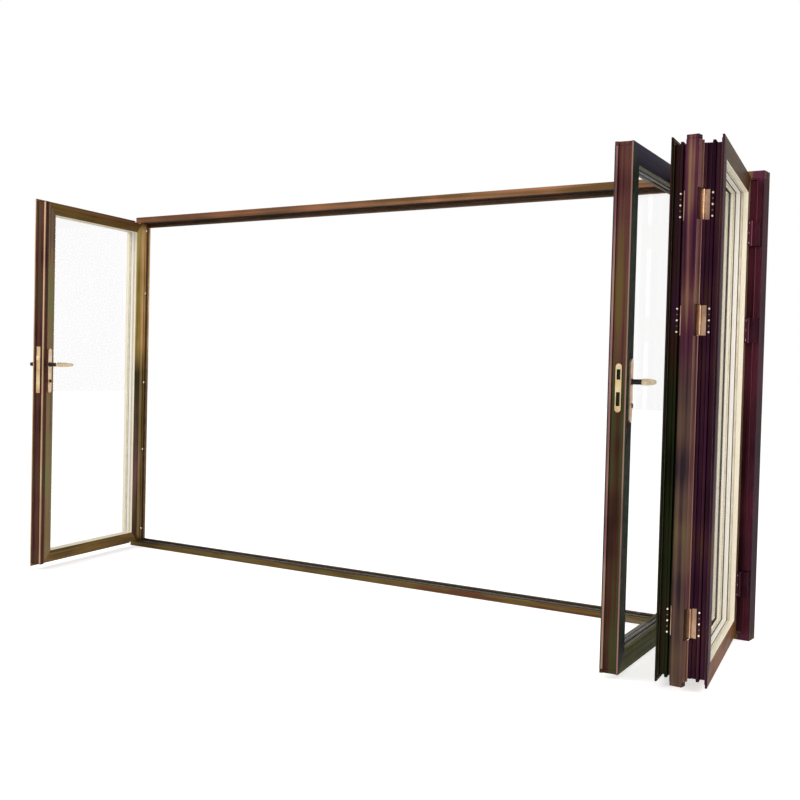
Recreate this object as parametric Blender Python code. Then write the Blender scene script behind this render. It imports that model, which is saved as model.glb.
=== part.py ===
"""Bifold glass patio door, four leaves, shown open.

One traffic leaf swings on the left jamb. Three folding leaves are stacked at the right jamb: the third
and the fourth leaf meet on a floating hinge post, and the second and the third on a post that runs in
the track. Metres, +Z up, +X along the frame, -Y towards the side that the leaves open to. The origin is
on the underside of the sill, at its middle.
"""
import math

import bmesh
import bpy
from mathutils import Matrix, Vector

# Outer frame
FRAME_WIDTH = 4.000
FRAME_HEIGHT = 2.100
FRAME_DEPTH = 0.078
JAMB_FACE = 0.037
JAMB_STOP = 0.050
HEAD_FACE = 0.037
HEAD_STOP = 0.060
SILL_FACE = 0.032
SILL_STOP = 0.042
STOP_THICKNESS = 0.010
JAMB_GROOVE_WIDTH = 0.022
JAMB_GROOVE_DEPTH = 0.004
HEAD_CHANNEL_WIDTH = 0.026
HEAD_CHANNEL_DEPTH = 0.026
SILL_CHANNEL_WIDTH = 0.016
SILL_CHANNEL_DEPTH = 0.016
CHANNEL_CENTRE = 0.036

# Clearances
SEAM = 0.0003
MOVE_GAP = 0.005
STOP_GAP = 0.006
MEETING_GAP = 0.006
RUNNING_GAP = 0.0001

# Leaf section: depth runs from the outer face, reach runs outwards from the floor of the edge groove
LEAF_DEPTH = 0.075
FLANGE_REACH = 0.025
FLANGE_THICKNESS = 0.008
RIDGE_REACH = 0.009
RIDGE_WIDTH = 0.010
RIDGE_SLOPE = 0.003
RIDGE_CENTRE = 0.038
OUTER_SIGHT = 0.055
INNER_SIGHT = 0.057
POCKET_REACH = 0.045
GLASS_THICKNESS = 0.0254
GLASS_CENTRE = 0.044
BEAD_SLOPE = 0.006
EDGE_ROUND = 0.0015

# Lock stile adapters, on the meeting edges of leaves 1 and 2
ADAPTER_REACH = 0.022
ADAPTER_RECESS = 0.019
ADAPTER_LIP_REACH = 0.025
ADAPTER_LIP_WIDTH = 0.014
ADAPTER_SHOULDER = 0.017

# Hinge posts
POST_WIDTH = 0.050
POST_FRONT_BLOCK = 0.014
POST_GROOVE_WIDTH = 0.014
POST_GROOVE_DEPTH = 0.016
POST_REAR_GAP = 0.010
POST_RIDGE_GAP = 0.002
POST_FLANGE_GAP = 0.015
POST_LIP_GAP = 0.004

# Ribs along the rear of the edges that fold onto the front post, cut away at its hinges
LIP_REACH = 0.021
LIP_WIDTH = 0.0125
LIP_ROOT = 0.003
LIP_END = 0.001
LIP_HINGE_GAP = 0.003

# Hinges
KNUCKLE_RADIUS = 0.007
PIN_RADIUS = 0.004
PIN_RISE = 0.040
WING_THICKNESS = 0.003
HINGE_LENGTH = 0.112
LOWEST_HINGE_HEIGHT = 0.255
TOP_HINGE_DROP = 0.280
HINGE_PAIR_SPACING = 0.430
LEFT_PIN_INSET = 0.010
RIGHT_PIN_INSET = 0.044
LEFT_PIN_OFFSET = 0.008
RIGHT_PIN_OFFSET = 0.010
TRACK_PIN_OFFSET = 0.026
TRACK_PIN_SPREAD = 0.022
REAR_PIN_INSET = 0.002
REAR_PIN_SPREAD = 0.026
LEAF_WING = 0.046
JAMB_FOOT_WIDTH = 0.020
JAMB_STEM_WIDTH = 0.006
KNUCKLE_GAP = 0.0004
POST_WING = 0.012
EDGE_WING = 0.026

# Lock, handles and strike
LEVER_HEIGHT = 1.154
BACKSET = 0.042
PLATE_LENGTH = 0.248
PLATE_WIDTH = 0.030
PLATE_THICKNESS = 0.008
PLATE_ABOVE_LEVER = 0.090
CYLINDER_DROP = 0.092
CYLINDER_RADIUS = 0.0085
CYLINDER_TAIL = 0.020
CYLINDER_PROUD = 0.003
SPINDLE_RADIUS = 0.0075
NECK_RADIUS = 0.0095
NECK_LENGTH = 0.050
BORE_EXTRA = 0.001
GRIP_LENGTH = 0.130
GRIP_HEIGHT = 0.020
GRIP_THICKNESS = 0.013
STUB_LENGTH = 0.012
BLIND_BORE = 0.020
LOCK_PLATE_CENTRE = 0.034
FACEPLATE_LENGTH = 0.258
FACEPLATE_WIDTH = 0.024
FACEPLATE_THICKNESS = 0.003
FACEPLATE_RISE = 0.098
LATCH_HEIGHT = 0.026
LATCH_WIDTH = 0.012
LATCH_PROUD = 0.010
LATCH_ABOVE_LEVER = 0.034
STRIKE_LENGTH = 0.188
STRIKE_WIDTH = 0.024
STRIKE_RISE = 0.069
SLOT_WIDTH = 0.015
LATCH_SLOT_LENGTH = 0.040
LATCH_SLOT_RISE = 0.027
BOLT_SLOT_LENGTH = 0.054
BOLT_SLOT_DROP = 0.068
SLOT_POCKET = 0.010

# Track hardware of the post between leaves 2 and 3
CARRIAGE_LENGTH = 0.090
CARRIAGE_WIDTH = 0.020
CARRIAGE_HEIGHT = 0.018
CARRIAGE_STEM_RADIUS = 0.006
GUIDE_LENGTH = 0.044
GUIDE_WIDTH = 0.012
GUIDE_HEIGHT = 0.010

# Open pose, in degrees from the closed door
TRAFFIC_LEAF_OPEN = 76.0
LEAF_4_OPEN = 102.0
LEAF_2_OPEN = 96.8
FRONT_POST_TURN = -4.0

# Worked out from the sizes above
FRONT_Y = -FRAME_DEPTH / 2
BACK_Y = FRAME_DEPTH / 2
LEAF_Y = FRONT_Y - MOVE_GAP - FLANGE_THICKNESS
LEAF_BACK_Y = LEAF_Y + LEAF_DEPTH
EDGE_CLEAR = MOVE_GAP + RIDGE_REACH
LEAF_INSET = JAMB_FACE + EDGE_CLEAR - FLANGE_REACH
LEAF_BOTTOM = SILL_FACE + EDGE_CLEAR - FLANGE_REACH
LEAF_TOP = FRAME_HEIGHT - HEAD_FACE - EDGE_CLEAR + FLANGE_REACH
POST_TIP_GAP = POST_WIDTH + 2 * (RIDGE_REACH + POST_RIDGE_GAP) - 2 * FLANGE_REACH
LEAF_WIDTH = (FRAME_WIDTH - 2 * LEAF_INSET - MEETING_GAP - 2 * POST_TIP_GAP) / 4
TOP_HINGE_HEIGHT = FRAME_HEIGHT - TOP_HINGE_DROP
HINGE_HEIGHTS = (LOWEST_HINGE_HEIGHT, TOP_HINGE_HEIGHT - HINGE_PAIR_SPACING, TOP_HINGE_HEIGHT)
LEFT_PIN_Y = LEAF_Y - LEFT_PIN_OFFSET
RIGHT_PIN_Y = LEAF_Y - RIGHT_PIN_OFFSET
TRACK_PIN_Y = LEAF_Y - TRACK_PIN_OFFSET
REAR_PIN_Y = LEAF_BACK_Y - REAR_PIN_INSET
BODY_BOTTOM = SILL_FACE + MOVE_GAP
BODY_TOP = FRAME_HEIGHT - HEAD_FACE - MOVE_GAP
MITRE_SEAM = SEAM * 0.75

ROUND_STEPS = 32
ARC_STEPS = 2


def clear_scene():
    """Remove the objects that a new scene starts with."""
    for item in list(bpy.data.objects):
        bpy.data.objects.remove(item, do_unlink=True)


def make_material(name, colour, metallic, roughness):
    """Make a plain Principled material from a linear colour."""
    material = bpy.data.materials.new(name)
    material.use_nodes = True
    shader = material.node_tree.nodes["Principled BSDF"]
    shader.inputs["Base Color"].default_value = (*colour, 1.0)
    shader.inputs["Metallic"].default_value = metallic
    shader.inputs["Roughness"].default_value = roughness
    return material


def rounded(outline, radius, corners):
    """Replace the listed corners of an outline by arcs of the given radius."""
    points = []
    count = len(outline)
    for index, corner in enumerate(outline):
        if index not in corners:
            points.append(corner)
            continue
        here = Vector(corner)
        before = (Vector(outline[index - 1]) - here).normalized()
        after = (Vector(outline[(index + 1) % count]) - here).normalized()
        half = before.angle(after) / 2
        setback = radius / math.tan(half)
        centre = here + (before + after).normalized() * (radius / math.sin(half))
        first = here + before * setback - centre
        last = here + after * setback - centre
        for step in range(ARC_STEPS + 1):
            ray = first.lerp(last, step / ARC_STEPS).normalized() * radius
            points.append(tuple(centre + ray))
    return points


def sweep(outline, place, ends):
    """Close a solid between two copies of an outline.

    place turns an outline point and a distance along the bar into a 3-D point, and ends gives the two
    distances for an outline point, so that an end can be mitred.
    """
    mesh = bmesh.new()
    rings = []
    for side in (0, 1):
        rings.append([mesh.verts.new(place(point, ends(point)[side])) for point in outline])
    mesh.faces.new(rings[0])
    mesh.faces.new(rings[1])
    count = len(outline)
    for index in range(count):
        following = (index + 1) % count
        mesh.faces.new((rings[0][index], rings[0][following], rings[1][following], rings[1][index]))
    bmesh.ops.recalc_face_normals(mesh, faces=mesh.faces)
    return mesh


def block(low, high):
    """A box between two corners."""
    outline = [(low[0], low[1]), (high[0], low[1]), (high[0], high[1]), (low[0], high[1])]
    return sweep(outline, lambda point, along: (point[0], point[1], along), lambda point: (low[2], high[2]))


def column(outline, bottom, top):
    """An outline in X and Y, raised between two heights."""
    return sweep(outline, lambda point, along: (point[0], point[1], along), lambda point: (bottom, top))


def rod(centre, radius, axis, start, end, steps=ROUND_STEPS):
    """A round bar along X, Y or Z through a centre given in the other two directions."""
    circle = [(centre[0] + radius * math.cos(math.tau * step / steps),
               centre[1] + radius * math.sin(math.tau * step / steps)) for step in range(steps)]
    places = {
        "X": lambda point, along: (along, point[0], point[1]),
        "Y": lambda point, along: (point[0], along, point[1]),
        "Z": lambda point, along: (point[0], point[1], along),
    }
    return sweep(circle, places[axis], lambda point: (start, end))


def bore_radius(shaft_radius):
    """Radius of a faceted bore that a faceted shaft turns in with the running gap."""
    return (shaft_radius + RUNNING_GAP) / math.cos(math.pi / ROUND_STEPS)


def stadium(centre, width, height, steps=8):
    """An upright outline with half round ends."""
    radius = width / 2
    straight = height / 2 - radius
    points = []
    for end, start_angle in ((1, 0.0), (-1, math.pi)):
        for step in range(steps + 1):
            angle = start_angle + math.pi * step / steps
            points.append((centre[0] + radius * math.cos(angle),
                           centre[1] + end * straight + radius * math.sin(angle)))
    return points


class Builder:
    """Adds the finished objects and keeps the cutting tools out of the model."""

    def __init__(self):
        self.materials = {
            "frame": make_material("bronze_anodised_aluminium", (0.060, 0.032, 0.018), 0.75, 0.38),
            "glass": make_material("clear_glass", (0.86, 0.92, 0.90), 0.0, 0.05),
            "brass": make_material("brushed_brass", (0.66, 0.42, 0.18), 0.9, 0.35),
            "plate": make_material("satin_champagne_metal", (0.62, 0.50, 0.36), 0.9, 0.30),
            "grip": make_material("polished_champagne_metal", (0.58, 0.47, 0.33), 0.9, 0.25),
            "steel": make_material("zinc_plated_steel", (0.45, 0.45, 0.44), 0.9, 0.40),
        }

    def empty(self, name, location, turn):
        """An empty on a vertical axis, turned about it by an angle in degrees."""
        axis = bpy.data.objects.new(name, None)
        axis.location = location
        axis.rotation_euler = (0.0, 0.0, math.radians(turn))
        bpy.context.scene.collection.objects.link(axis)
        return axis

    def add(self, name, mesh, material, parent=None, location=(0.0, 0.0, 0.0)):
        """Turn a bmesh into a named object."""
        data = bpy.data.meshes.new(name)
        mesh.to_mesh(data)
        mesh.free()
        data.materials.append(self.materials[material])
        item = bpy.data.objects.new(name, data)
        item.parent = parent
        item.location = location
        bpy.context.scene.collection.objects.link(item)
        return item

    def shape(self, item, mesh, operation):
        """Cut a solid from an object, or join one to it, by a Boolean."""
        name = f"{item.name}_tool_{len(item.modifiers)}"
        tool = self.add(name, mesh, "frame", item.parent, item.location)
        tool.hide_render = True
        tool.display_type = "WIRE"
        modifier = item.modifiers.new(name, "BOOLEAN")
        modifier.operation = operation
        modifier.solver = "EXACT"
        modifier.object = tool


def frame_outline(face, stop, channel_width, channel_depth):
    """Section of a frame bar: depth from the front face, and reach from the outer face."""
    channel_front = CHANNEL_CENTRE - channel_width / 2
    channel_back = CHANNEL_CENTRE + channel_width / 2
    stop_front = FRAME_DEPTH - STOP_THICKNESS
    outline = [
        (0.0, 0.0), (0.0, face),
        (channel_front, face), (channel_front, face - channel_depth),
        (channel_back, face - channel_depth), (channel_back, face),
        (stop_front, face), (stop_front, stop),
        (FRAME_DEPTH, stop), (FRAME_DEPTH, 0.0),
    ]
    return rounded(outline, EDGE_ROUND, (1, 7, 8))


def envelope(face, stop):
    """What a frame bar fills, grown by a seam and with its channel closed, for scribing the jambs."""
    beyond = FRAME_DEPTH
    stop_front = FRAME_DEPTH - STOP_THICKNESS - SEAM
    return [(-beyond, -beyond), (-beyond, face + SEAM), (stop_front, face + SEAM),
            (stop_front, stop + SEAM), (2 * beyond, stop + SEAM), (2 * beyond, -beyond)]


def build_frame(builder):
    """The head and the sill run through, and the jambs are scribed between them."""
    half = FRAME_WIDTH / 2
    beyond = FRAME_DEPTH

    def along_x(low, sign, base):
        """Place a section point of a level bar."""
        return lambda point, along: (along, low + point[0], base + sign * point[1])

    head = frame_outline(HEAD_FACE, HEAD_STOP, HEAD_CHANNEL_WIDTH, HEAD_CHANNEL_DEPTH)
    sill = frame_outline(SILL_FACE, SILL_STOP, SILL_CHANNEL_WIDTH, SILL_CHANNEL_DEPTH)
    jamb = frame_outline(JAMB_FACE, JAMB_STOP, JAMB_GROOVE_WIDTH, JAMB_GROOVE_DEPTH)
    head_place = along_x(FRONT_Y, -1, FRAME_HEIGHT)
    sill_place = along_x(FRONT_Y, 1, 0.0)
    builder.add("head_track", sweep(head, head_place, lambda point: (-half, half)), "frame")
    builder.add("sill_track", sweep(sill, sill_place, lambda point: (-half, half)), "frame")
    for name, sign in (("left_jamb", -1), ("right_jamb", 1)):
        bar = sweep(jamb, lambda point, along: (sign * (half - point[1]), FRONT_Y + point[0], along),
                    lambda point: (0.0, FRAME_HEIGHT))
        item = builder.add(name, bar, "frame")
        span = (sign * half - beyond, sign * half + beyond)
        builder.shape(item, sweep(envelope(HEAD_FACE, HEAD_STOP), head_place, lambda point: span),
                      "DIFFERENCE")
        builder.shape(item, sweep(envelope(SILL_FACE, SILL_STOP), sill_place, lambda point: span),
                      "DIFFERENCE")


def leaf_outline():
    """Section of a leaf bar: depth from the outer face, and reach from the floor of the edge groove."""
    ridge_front = RIDGE_CENTRE - RIDGE_WIDTH / 2
    ridge_back = RIDGE_CENTRE + RIDGE_WIDTH / 2
    pocket_front = GLASS_CENTRE - GLASS_THICKNESS / 2 - SEAM
    pocket_back = GLASS_CENTRE + GLASS_THICKNESS / 2 + SEAM
    outline = [
        (0.0, FLANGE_REACH), (FLANGE_THICKNESS, FLANGE_REACH), (FLANGE_THICKNESS, 0.0),
        (ridge_front - RIDGE_SLOPE, 0.0), (ridge_front, RIDGE_REACH),
        (ridge_back, RIDGE_REACH), (ridge_back + RIDGE_SLOPE, 0.0),
        (LEAF_DEPTH, 0.0), (LEAF_DEPTH, -INNER_SIGHT),
        (pocket_back, -INNER_SIGHT), (pocket_back, -POCKET_REACH),
        (pocket_front, -POCKET_REACH), (pocket_front, BEAD_SLOPE - OUTER_SIGHT),
        (pocket_front / 2, -OUTER_SIGHT), (0.0, -OUTER_SIGHT),
    ]
    return rounded(outline, EDGE_ROUND, (0, 1, 4, 5, 7, 8, 14))


class Leaf:
    """One leaf: where it stands when closed, and the vertical pin that it is turned about to open.

    Distances along a leaf run from the edge that it hangs on, tip to tip of its flanges.
    """

    def __init__(self, builder, name, hung_x, hand, pin, turn):
        self.builder = builder
        self.name = name
        self.hung_x = hung_x
        self.hand = hand
        self.pin = pin
        self.turn = turn
        self.axis = builder.empty(f"{name}_axis", (pin[0], pin[1], 0.0), turn)

    def at(self, along, depth, height):
        """A point of the closed leaf, measured from its pin."""
        return (self.hung_x + self.hand * along - self.pin[0], LEAF_Y + depth - self.pin[1], height)

    def add(self, part, mesh, material):
        """Add a piece of the leaf."""
        return self.builder.add(f"{self.name}_{part}", mesh, material, self.axis)

    def world(self, point):
        """Where a closed point in plan goes when the leaf is turned about its pin."""
        turned = Matrix.Rotation(math.radians(self.turn), 2) @ (Vector(point) - Vector(self.pin))
        return turned + Vector(self.pin)

    def build_sash(self):
        """Two stiles, two rails with mitred ends, and the pane in their pocket."""
        outline = leaf_outline()

        def inset(point):
            """Distance of a section point from the flange tip."""
            return FLANGE_REACH - point[1]

        def level_ends(point):
            """Mitred ends of a rail."""
            return (inset(point) + MITRE_SEAM, LEAF_WIDTH - inset(point) - MITRE_SEAM)

        def upright_ends(point):
            """Mitred ends of a stile."""
            return (LEAF_BOTTOM + inset(point) + MITRE_SEAM, LEAF_TOP - inset(point) - MITRE_SEAM)

        bars = {
            "bottom_rail": (lambda p, s: self.at(s, p[0], LEAF_BOTTOM + inset(p)), level_ends),
            "top_rail": (lambda p, s: self.at(s, p[0], LEAF_TOP - inset(p)), level_ends),
            "hinge_stile": (lambda p, s: self.at(inset(p), p[0], s), upright_ends),
            "lock_stile": (lambda p, s: self.at(LEAF_WIDTH - inset(p), p[0], s), upright_ends),
        }
        made = {part: self.add(part, sweep(outline, place, ends), "frame")
                for part, (place, ends) in bars.items()}
        edge = FLANGE_REACH + POCKET_REACH + SEAM
        front = GLASS_CENTRE - GLASS_THICKNESS / 2
        pane = [(edge, front), (LEAF_WIDTH - edge, front),
                (LEAF_WIDTH - edge, front + GLASS_THICKNESS), (edge, front + GLASS_THICKNESS)]
        self.add("glass", sweep(pane, lambda p, s: self.at(p[0], p[1], s),
                                lambda p: (LEAF_BOTTOM + edge, LEAF_TOP - edge)), "glass")
        return made

    def build_seal_lips(self, stile):
        """Ribs along the rear of a stile's edge, which close the gap behind the front post."""
        end = LEAF_BOTTOM + FLANGE_REACH + LIP_ROOT + LIP_END
        stops = [end]
        for height in HINGE_HEIGHTS:
            reach = HINGE_LENGTH / 2 + LIP_HINGE_GAP
            stops += [height - reach, height + reach]
        stops.append(LEAF_BOTTOM + LEAF_TOP - end)
        back = LEAF_DEPTH - EDGE_ROUND
        root = LEAF_WIDTH - FLANGE_REACH - LIP_ROOT
        tip = LEAF_WIDTH - FLANGE_REACH + LIP_REACH
        outline = [(root, back - LIP_WIDTH), (root, back), (tip, back), (tip, back - LIP_WIDTH)]
        for bottom, top in zip(stops[::2], stops[1::2]):
            rib = sweep(outline, lambda p, s: self.at(p[0], p[1], s), lambda p: (bottom, top))
            self.builder.shape(stile, rib, "UNION")

    def build_adapter(self):
        """The profile that fills the edge of a meeting stile behind its flange."""
        ridge_front = RIDGE_CENTRE - RIDGE_WIDTH / 2 - 2 * SEAM
        ridge_back = RIDGE_CENTRE + RIDGE_WIDTH / 2 + 2 * SEAM
        outline = [
            (FLANGE_THICKNESS + SEAM, SEAM), (ridge_front - RIDGE_SLOPE, SEAM),
            (ridge_front, RIDGE_REACH + SEAM), (ridge_back, RIDGE_REACH + SEAM),
            (ridge_back + RIDGE_SLOPE, SEAM), (LEAF_DEPTH, SEAM),
            (LEAF_DEPTH, ADAPTER_LIP_REACH), (LEAF_DEPTH - ADAPTER_LIP_WIDTH, ADAPTER_LIP_REACH),
            (LEAF_DEPTH - ADAPTER_LIP_WIDTH, ADAPTER_RECESS), (ADAPTER_SHOULDER, ADAPTER_RECESS),
            (ADAPTER_SHOULDER, ADAPTER_REACH), (FLANGE_THICKNESS + SEAM, ADAPTER_REACH),
        ]
        outline = rounded(outline, EDGE_ROUND, (6, 7, 10))
        place = lambda p, s: self.at(LEAF_WIDTH - FLANGE_REACH + p[1], p[0], s)
        return self.add("lock_adapter", sweep(outline, place, lambda p: (BODY_BOTTOM, BODY_TOP)), "frame")

    def spindle(self):
        """Plan position of the lever spindle, measured from the pin."""
        return self.at(LEAF_WIDTH - BACKSET, 0.0, LEVER_HEIGHT)

    def cut_bore(self, item, depth):
        """Bore a stile for the lever spindle, from its outer face."""
        x, y, z = self.spindle()
        bore = rod((x, z), NECK_RADIUS + BORE_EXTRA, "Y", y - LEAF_DEPTH, y + depth)
        self.builder.shape(item, bore, "DIFFERENCE")

    def build_handle_plate(self, part, face, outward):
        """A long plate with half round ends, bored for the lever, with its lock cylinder standing proud."""
        x, y, z = self.spindle()
        near = y + face + outward * SEAM
        far = near + outward * PLATE_THICKNESS
        centre = (x, z + PLATE_ABOVE_LEVER - PLATE_LENGTH / 2)
        place = lambda p, s: (p[0], s, p[1])
        item = self.add(part, sweep(stadium(centre, PLATE_WIDTH, PLATE_LENGTH), place,
                                    lambda p: (near, far)), "plate")
        bore = rod((x, z), bore_radius(NECK_RADIUS), "Y", near - outward * PLATE_THICKNESS,
                   far + outward * PLATE_THICKNESS)
        self.builder.shape(item, bore, "DIFFERENCE")
        keyway = (x, z - CYLINDER_DROP - (CYLINDER_TAIL - CYLINDER_RADIUS) / 2)
        cylinder = stadium(keyway, 2 * CYLINDER_RADIUS, CYLINDER_RADIUS + CYLINDER_TAIL)
        middle = near + outward * PLATE_THICKNESS / 2
        self.builder.shape(item, sweep(cylinder, place,
                                       lambda p: (middle, far + outward * CYLINDER_PROUD)), "UNION")
        return item

    def lever_side(self, face, outward):
        """Neck and grip of one lever, measured from the spindle axis."""
        start = face
        end = start + outward * NECK_LENGTH
        neck = rod((0.0, 0.0), NECK_RADIUS, "Y", start, end)
        inner = end - outward * GRIP_THICKNESS
        towards = -self.hand
        half = GRIP_HEIGHT / 2
        outline = [(-towards * NECK_RADIUS, -half), (-towards * NECK_RADIUS, half),
                   (towards * GRIP_LENGTH, half * 0.8), (towards * GRIP_LENGTH, -half * 0.8)]
        outline = rounded(outline, half * 0.7, (0, 1, 2, 3))
        grip = sweep(outline, lambda p, s: (p[0], s, p[1]), lambda p: (inner, end + outward * SEAM))
        return neck, grip


def build_lever(leaf, part, both_sides):
    """A lever on its spindle: on both faces of a leaf, or on the outer face only."""
    x, y, z = leaf.spindle()
    neck, grip = leaf.lever_side(0.0, -1)
    inner_end = LEAF_DEPTH + SEAM if both_sides else STUB_LENGTH
    item = leaf.builder.add(f"{leaf.name}_{part}", neck, "grip", leaf.axis, (x, y, z))
    leaf.builder.shape(item, grip, "UNION")
    leaf.builder.shape(item, rod((0.0, 0.0), SPINDLE_RADIUS, "Y", -SEAM, inner_end), "UNION")
    if both_sides:
        neck, grip = leaf.lever_side(LEAF_DEPTH, 1)
        leaf.builder.shape(item, neck, "UNION")
        leaf.builder.shape(item, grip, "UNION")
    return item


def build_faceplate(leaf):
    """The lock's plate on the meeting edge of leaf 1, with its sprung latch."""
    low = LEAF_WIDTH - FLANGE_REACH + ADAPTER_RECESS + SEAM
    top = LEVER_HEIGHT + FACEPLATE_RISE
    front = LOCK_PLATE_CENTRE - FACEPLATE_WIDTH / 2
    outline = [(low, front), (low + FACEPLATE_THICKNESS, front),
               (low + FACEPLATE_THICKNESS, front + FACEPLATE_WIDTH), (low, front + FACEPLATE_WIDTH)]
    place = lambda p, s: leaf.at(p[0], p[1], s)
    item = leaf.add("lock_faceplate", sweep(outline, place, lambda p: (top - FACEPLATE_LENGTH, top)),
                    "brass")
    tip = low + FACEPLATE_THICKNESS + LATCH_PROUD
    latch_front = LOCK_PLATE_CENTRE - LATCH_WIDTH / 2
    latch_back = LOCK_PLATE_CENTRE + LATCH_WIDTH / 2
    latch = [(low + FACEPLATE_THICKNESS / 2, latch_front), (tip, latch_front),
             (tip, latch_front + LATCH_WIDTH / 4),
             (low + FACEPLATE_THICKNESS, latch_back), (low + FACEPLATE_THICKNESS / 2, latch_back)]
    middle = LEVER_HEIGHT + LATCH_ABOVE_LEVER
    leaf.builder.shape(item, sweep(latch, place, lambda p: (middle - LATCH_HEIGHT / 2,
                                                            middle + LATCH_HEIGHT / 2)), "UNION")


def build_strike(leaf, adapter):
    """The strike plate on the meeting edge of leaf 2, and the pockets behind its two slots."""
    low = LEAF_WIDTH - FLANGE_REACH + ADAPTER_RECESS
    centre = (LOCK_PLATE_CENTRE, LEVER_HEIGHT + STRIKE_RISE - STRIKE_LENGTH / 2)
    place = lambda p, s: leaf.at(s, p[0], p[1])
    seat = low + SEAM
    item = leaf.add("strike_plate", sweep(stadium(centre, STRIKE_WIDTH, STRIKE_LENGTH), place,
                                          lambda p: (seat, seat + FACEPLATE_THICKNESS)), "brass")
    slots = ((LATCH_SLOT_RISE, LATCH_SLOT_LENGTH), (-BOLT_SLOT_DROP, BOLT_SLOT_LENGTH))
    for rise, length in slots:
        middle = LEVER_HEIGHT + rise
        front = LOCK_PLATE_CENTRE - SLOT_WIDTH / 2
        slot = [(front, middle - length / 2), (front + SLOT_WIDTH, middle - length / 2),
                (front + SLOT_WIDTH, middle + length / 2), (front, middle + length / 2)]
        leaf.builder.shape(item, sweep(slot, place, lambda p: (low - SEAM, low + 2 * FACEPLATE_THICKNESS)),
                           "DIFFERENCE")
        leaf.builder.shape(adapter, sweep(slot, place, lambda p: (low - SLOT_POCKET,
                                                                  low + 2 * FACEPLATE_THICKNESS)),
                           "DIFFERENCE")


def barrel(radius, wings):
    """Outline of a hinge knuckle with plates growing from it.

    Each wing is the angle where its outline leaves the knuckle, its corners, and the angle where it
    comes back, going anticlockwise round the knuckle.
    """
    points = []
    for index, (leave, corners, back) in enumerate(wings):
        points.extend(corners)
        following = wings[(index + 1) % len(wings)][0]
        while following <= back:
            following += math.tau
        steps = max(2, round((following - back) / math.tau * ROUND_STEPS))
        for step in range(steps + 1):
            angle = back + (following - back) * step / steps
            points.append((radius * math.cos(angle), radius * math.sin(angle)))
    return points


def plan_turn(points, angle):
    """Turn plan points about the origin by an angle in radians."""
    return [tuple(Matrix.Rotation(angle, 2) @ Vector(point)) for point in points]


def mirrored(wing):
    """The same wing on a leaf that extends the other way."""
    leave, corners, back = wing
    return math.pi - back, [(-x, y) for x, y in reversed(corners)], math.pi - leave


def leaf_wing(hand, offset):
    """Cranked wing on the outer face of a closed leaf, from a pin that stands in front of that face."""
    face = offset - SEAM
    stem = KNUCKLE_RADIUS - WING_THICKNESS
    corners = [(KNUCKLE_RADIUS, face - WING_THICKNESS), (LEAF_WING, face - WING_THICKNESS),
               (LEAF_WING, face), (stem, face)]
    wing = (0.0, corners, math.acos(stem / KNUCKLE_RADIUS))
    return wing if hand > 0 else mirrored(wing)


def jamb_foot(inset, pin_y):
    """Depth and reach of the foot that a jamb hinge stands on, measured from its pin."""
    back = FRONT_Y - pin_y - SEAM
    outer = SEAM - inset
    return back - WING_THICKNESS, back, outer, outer + JAMB_FOOT_WIDTH


def straight_jamb_wing(hand, inset, pin_y):
    """Stem straight back from a pin to a foot on the front face of the jamb."""
    front, back, outer, inner = jamb_foot(inset, pin_y)
    half = JAMB_STEM_WIDTH / 2
    corners = [(half, front), (inner, front), (inner, back), (outer, back), (outer, front), (-half, front)]
    wing = (math.acos(half / KNUCKLE_RADIUS), corners, math.acos(-half / KNUCKLE_RADIUS))
    return wing if hand > 0 else mirrored(wing)


def cranked_jamb_wing(hand, inset, pin_y):
    """Arm from a pin, outwards in front of the leaf, and back to a foot on the jamb."""
    front, back, outer, inner = jamb_foot(inset, pin_y)
    half = JAMB_STEM_WIDTH / 2
    middle = (outer + inner) / 2
    corners = [(middle + half, half), (middle + half, front), (inner, front), (inner, back),
               (outer, back), (outer, front), (middle - half, front), (middle - half, -half)]
    wing = (math.pi - math.asin(half / KNUCKLE_RADIUS), corners, math.pi + math.asin(half / KNUCKLE_RADIUS))
    return wing if hand > 0 else mirrored(wing)


def turned_wing(wing, angle):
    """A wing turned about its pin by an angle in radians."""
    leave, corners, back = wing
    return leave + angle, plan_turn(corners, angle), back + angle


def build_swing_hinges(builder, leaf):
    """Hinges of the traffic leaf: a jamb knuckle below and a leaf knuckle above on each pin."""
    for number, height in enumerate(HINGE_HEIGHTS, 1):
        bottom = height - HINGE_LENGTH / 2
        top = height + HINGE_LENGTH / 2
        foot = straight_jamb_wing(leaf.hand, LEFT_PIN_INSET, LEFT_PIN_Y)
        lower = column(barrel(KNUCKLE_RADIUS, [foot]), bottom, height - KNUCKLE_GAP / 2)
        item = builder.add(f"left_jamb_hinge_{number}", lower, "brass", None, (*leaf.pin, 0.0))
        pin = rod((0.0, 0.0), PIN_RADIUS, "Z", bottom + KNUCKLE_GAP, height + PIN_RISE)
        builder.shape(item, pin, "UNION")
        wing = leaf_wing(leaf.hand, LEFT_PIN_OFFSET)
        upper = column(barrel(KNUCKLE_RADIUS, [wing]), height + KNUCKLE_GAP / 2, top)
        item = leaf.add(f"hinge_{number}", upper, "brass")
        bore = rod((0.0, 0.0), bore_radius(PIN_RADIUS), "Z", bottom, height + PIN_RISE + KNUCKLE_GAP)
        builder.shape(item, bore, "DIFFERENCE")


def build_jamb_hinges(builder, leaf):
    """Hinges between leaf 4 and the right jamb, drawn in the open pose."""
    wings = [cranked_jamb_wing(leaf.hand, RIGHT_PIN_INSET, RIGHT_PIN_Y),
             turned_wing(leaf_wing(leaf.hand, RIGHT_PIN_OFFSET), math.radians(leaf.turn))]
    outline = barrel(KNUCKLE_RADIUS, wings)
    for number, height in enumerate(HINGE_HEIGHTS, 1):
        shape = column(outline, height - HINGE_LENGTH / 2, height + HINGE_LENGTH / 2)
        builder.add(f"right_jamb_hinge_{number}", shape, "brass", None, (*leaf.pin, 0.0))


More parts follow.
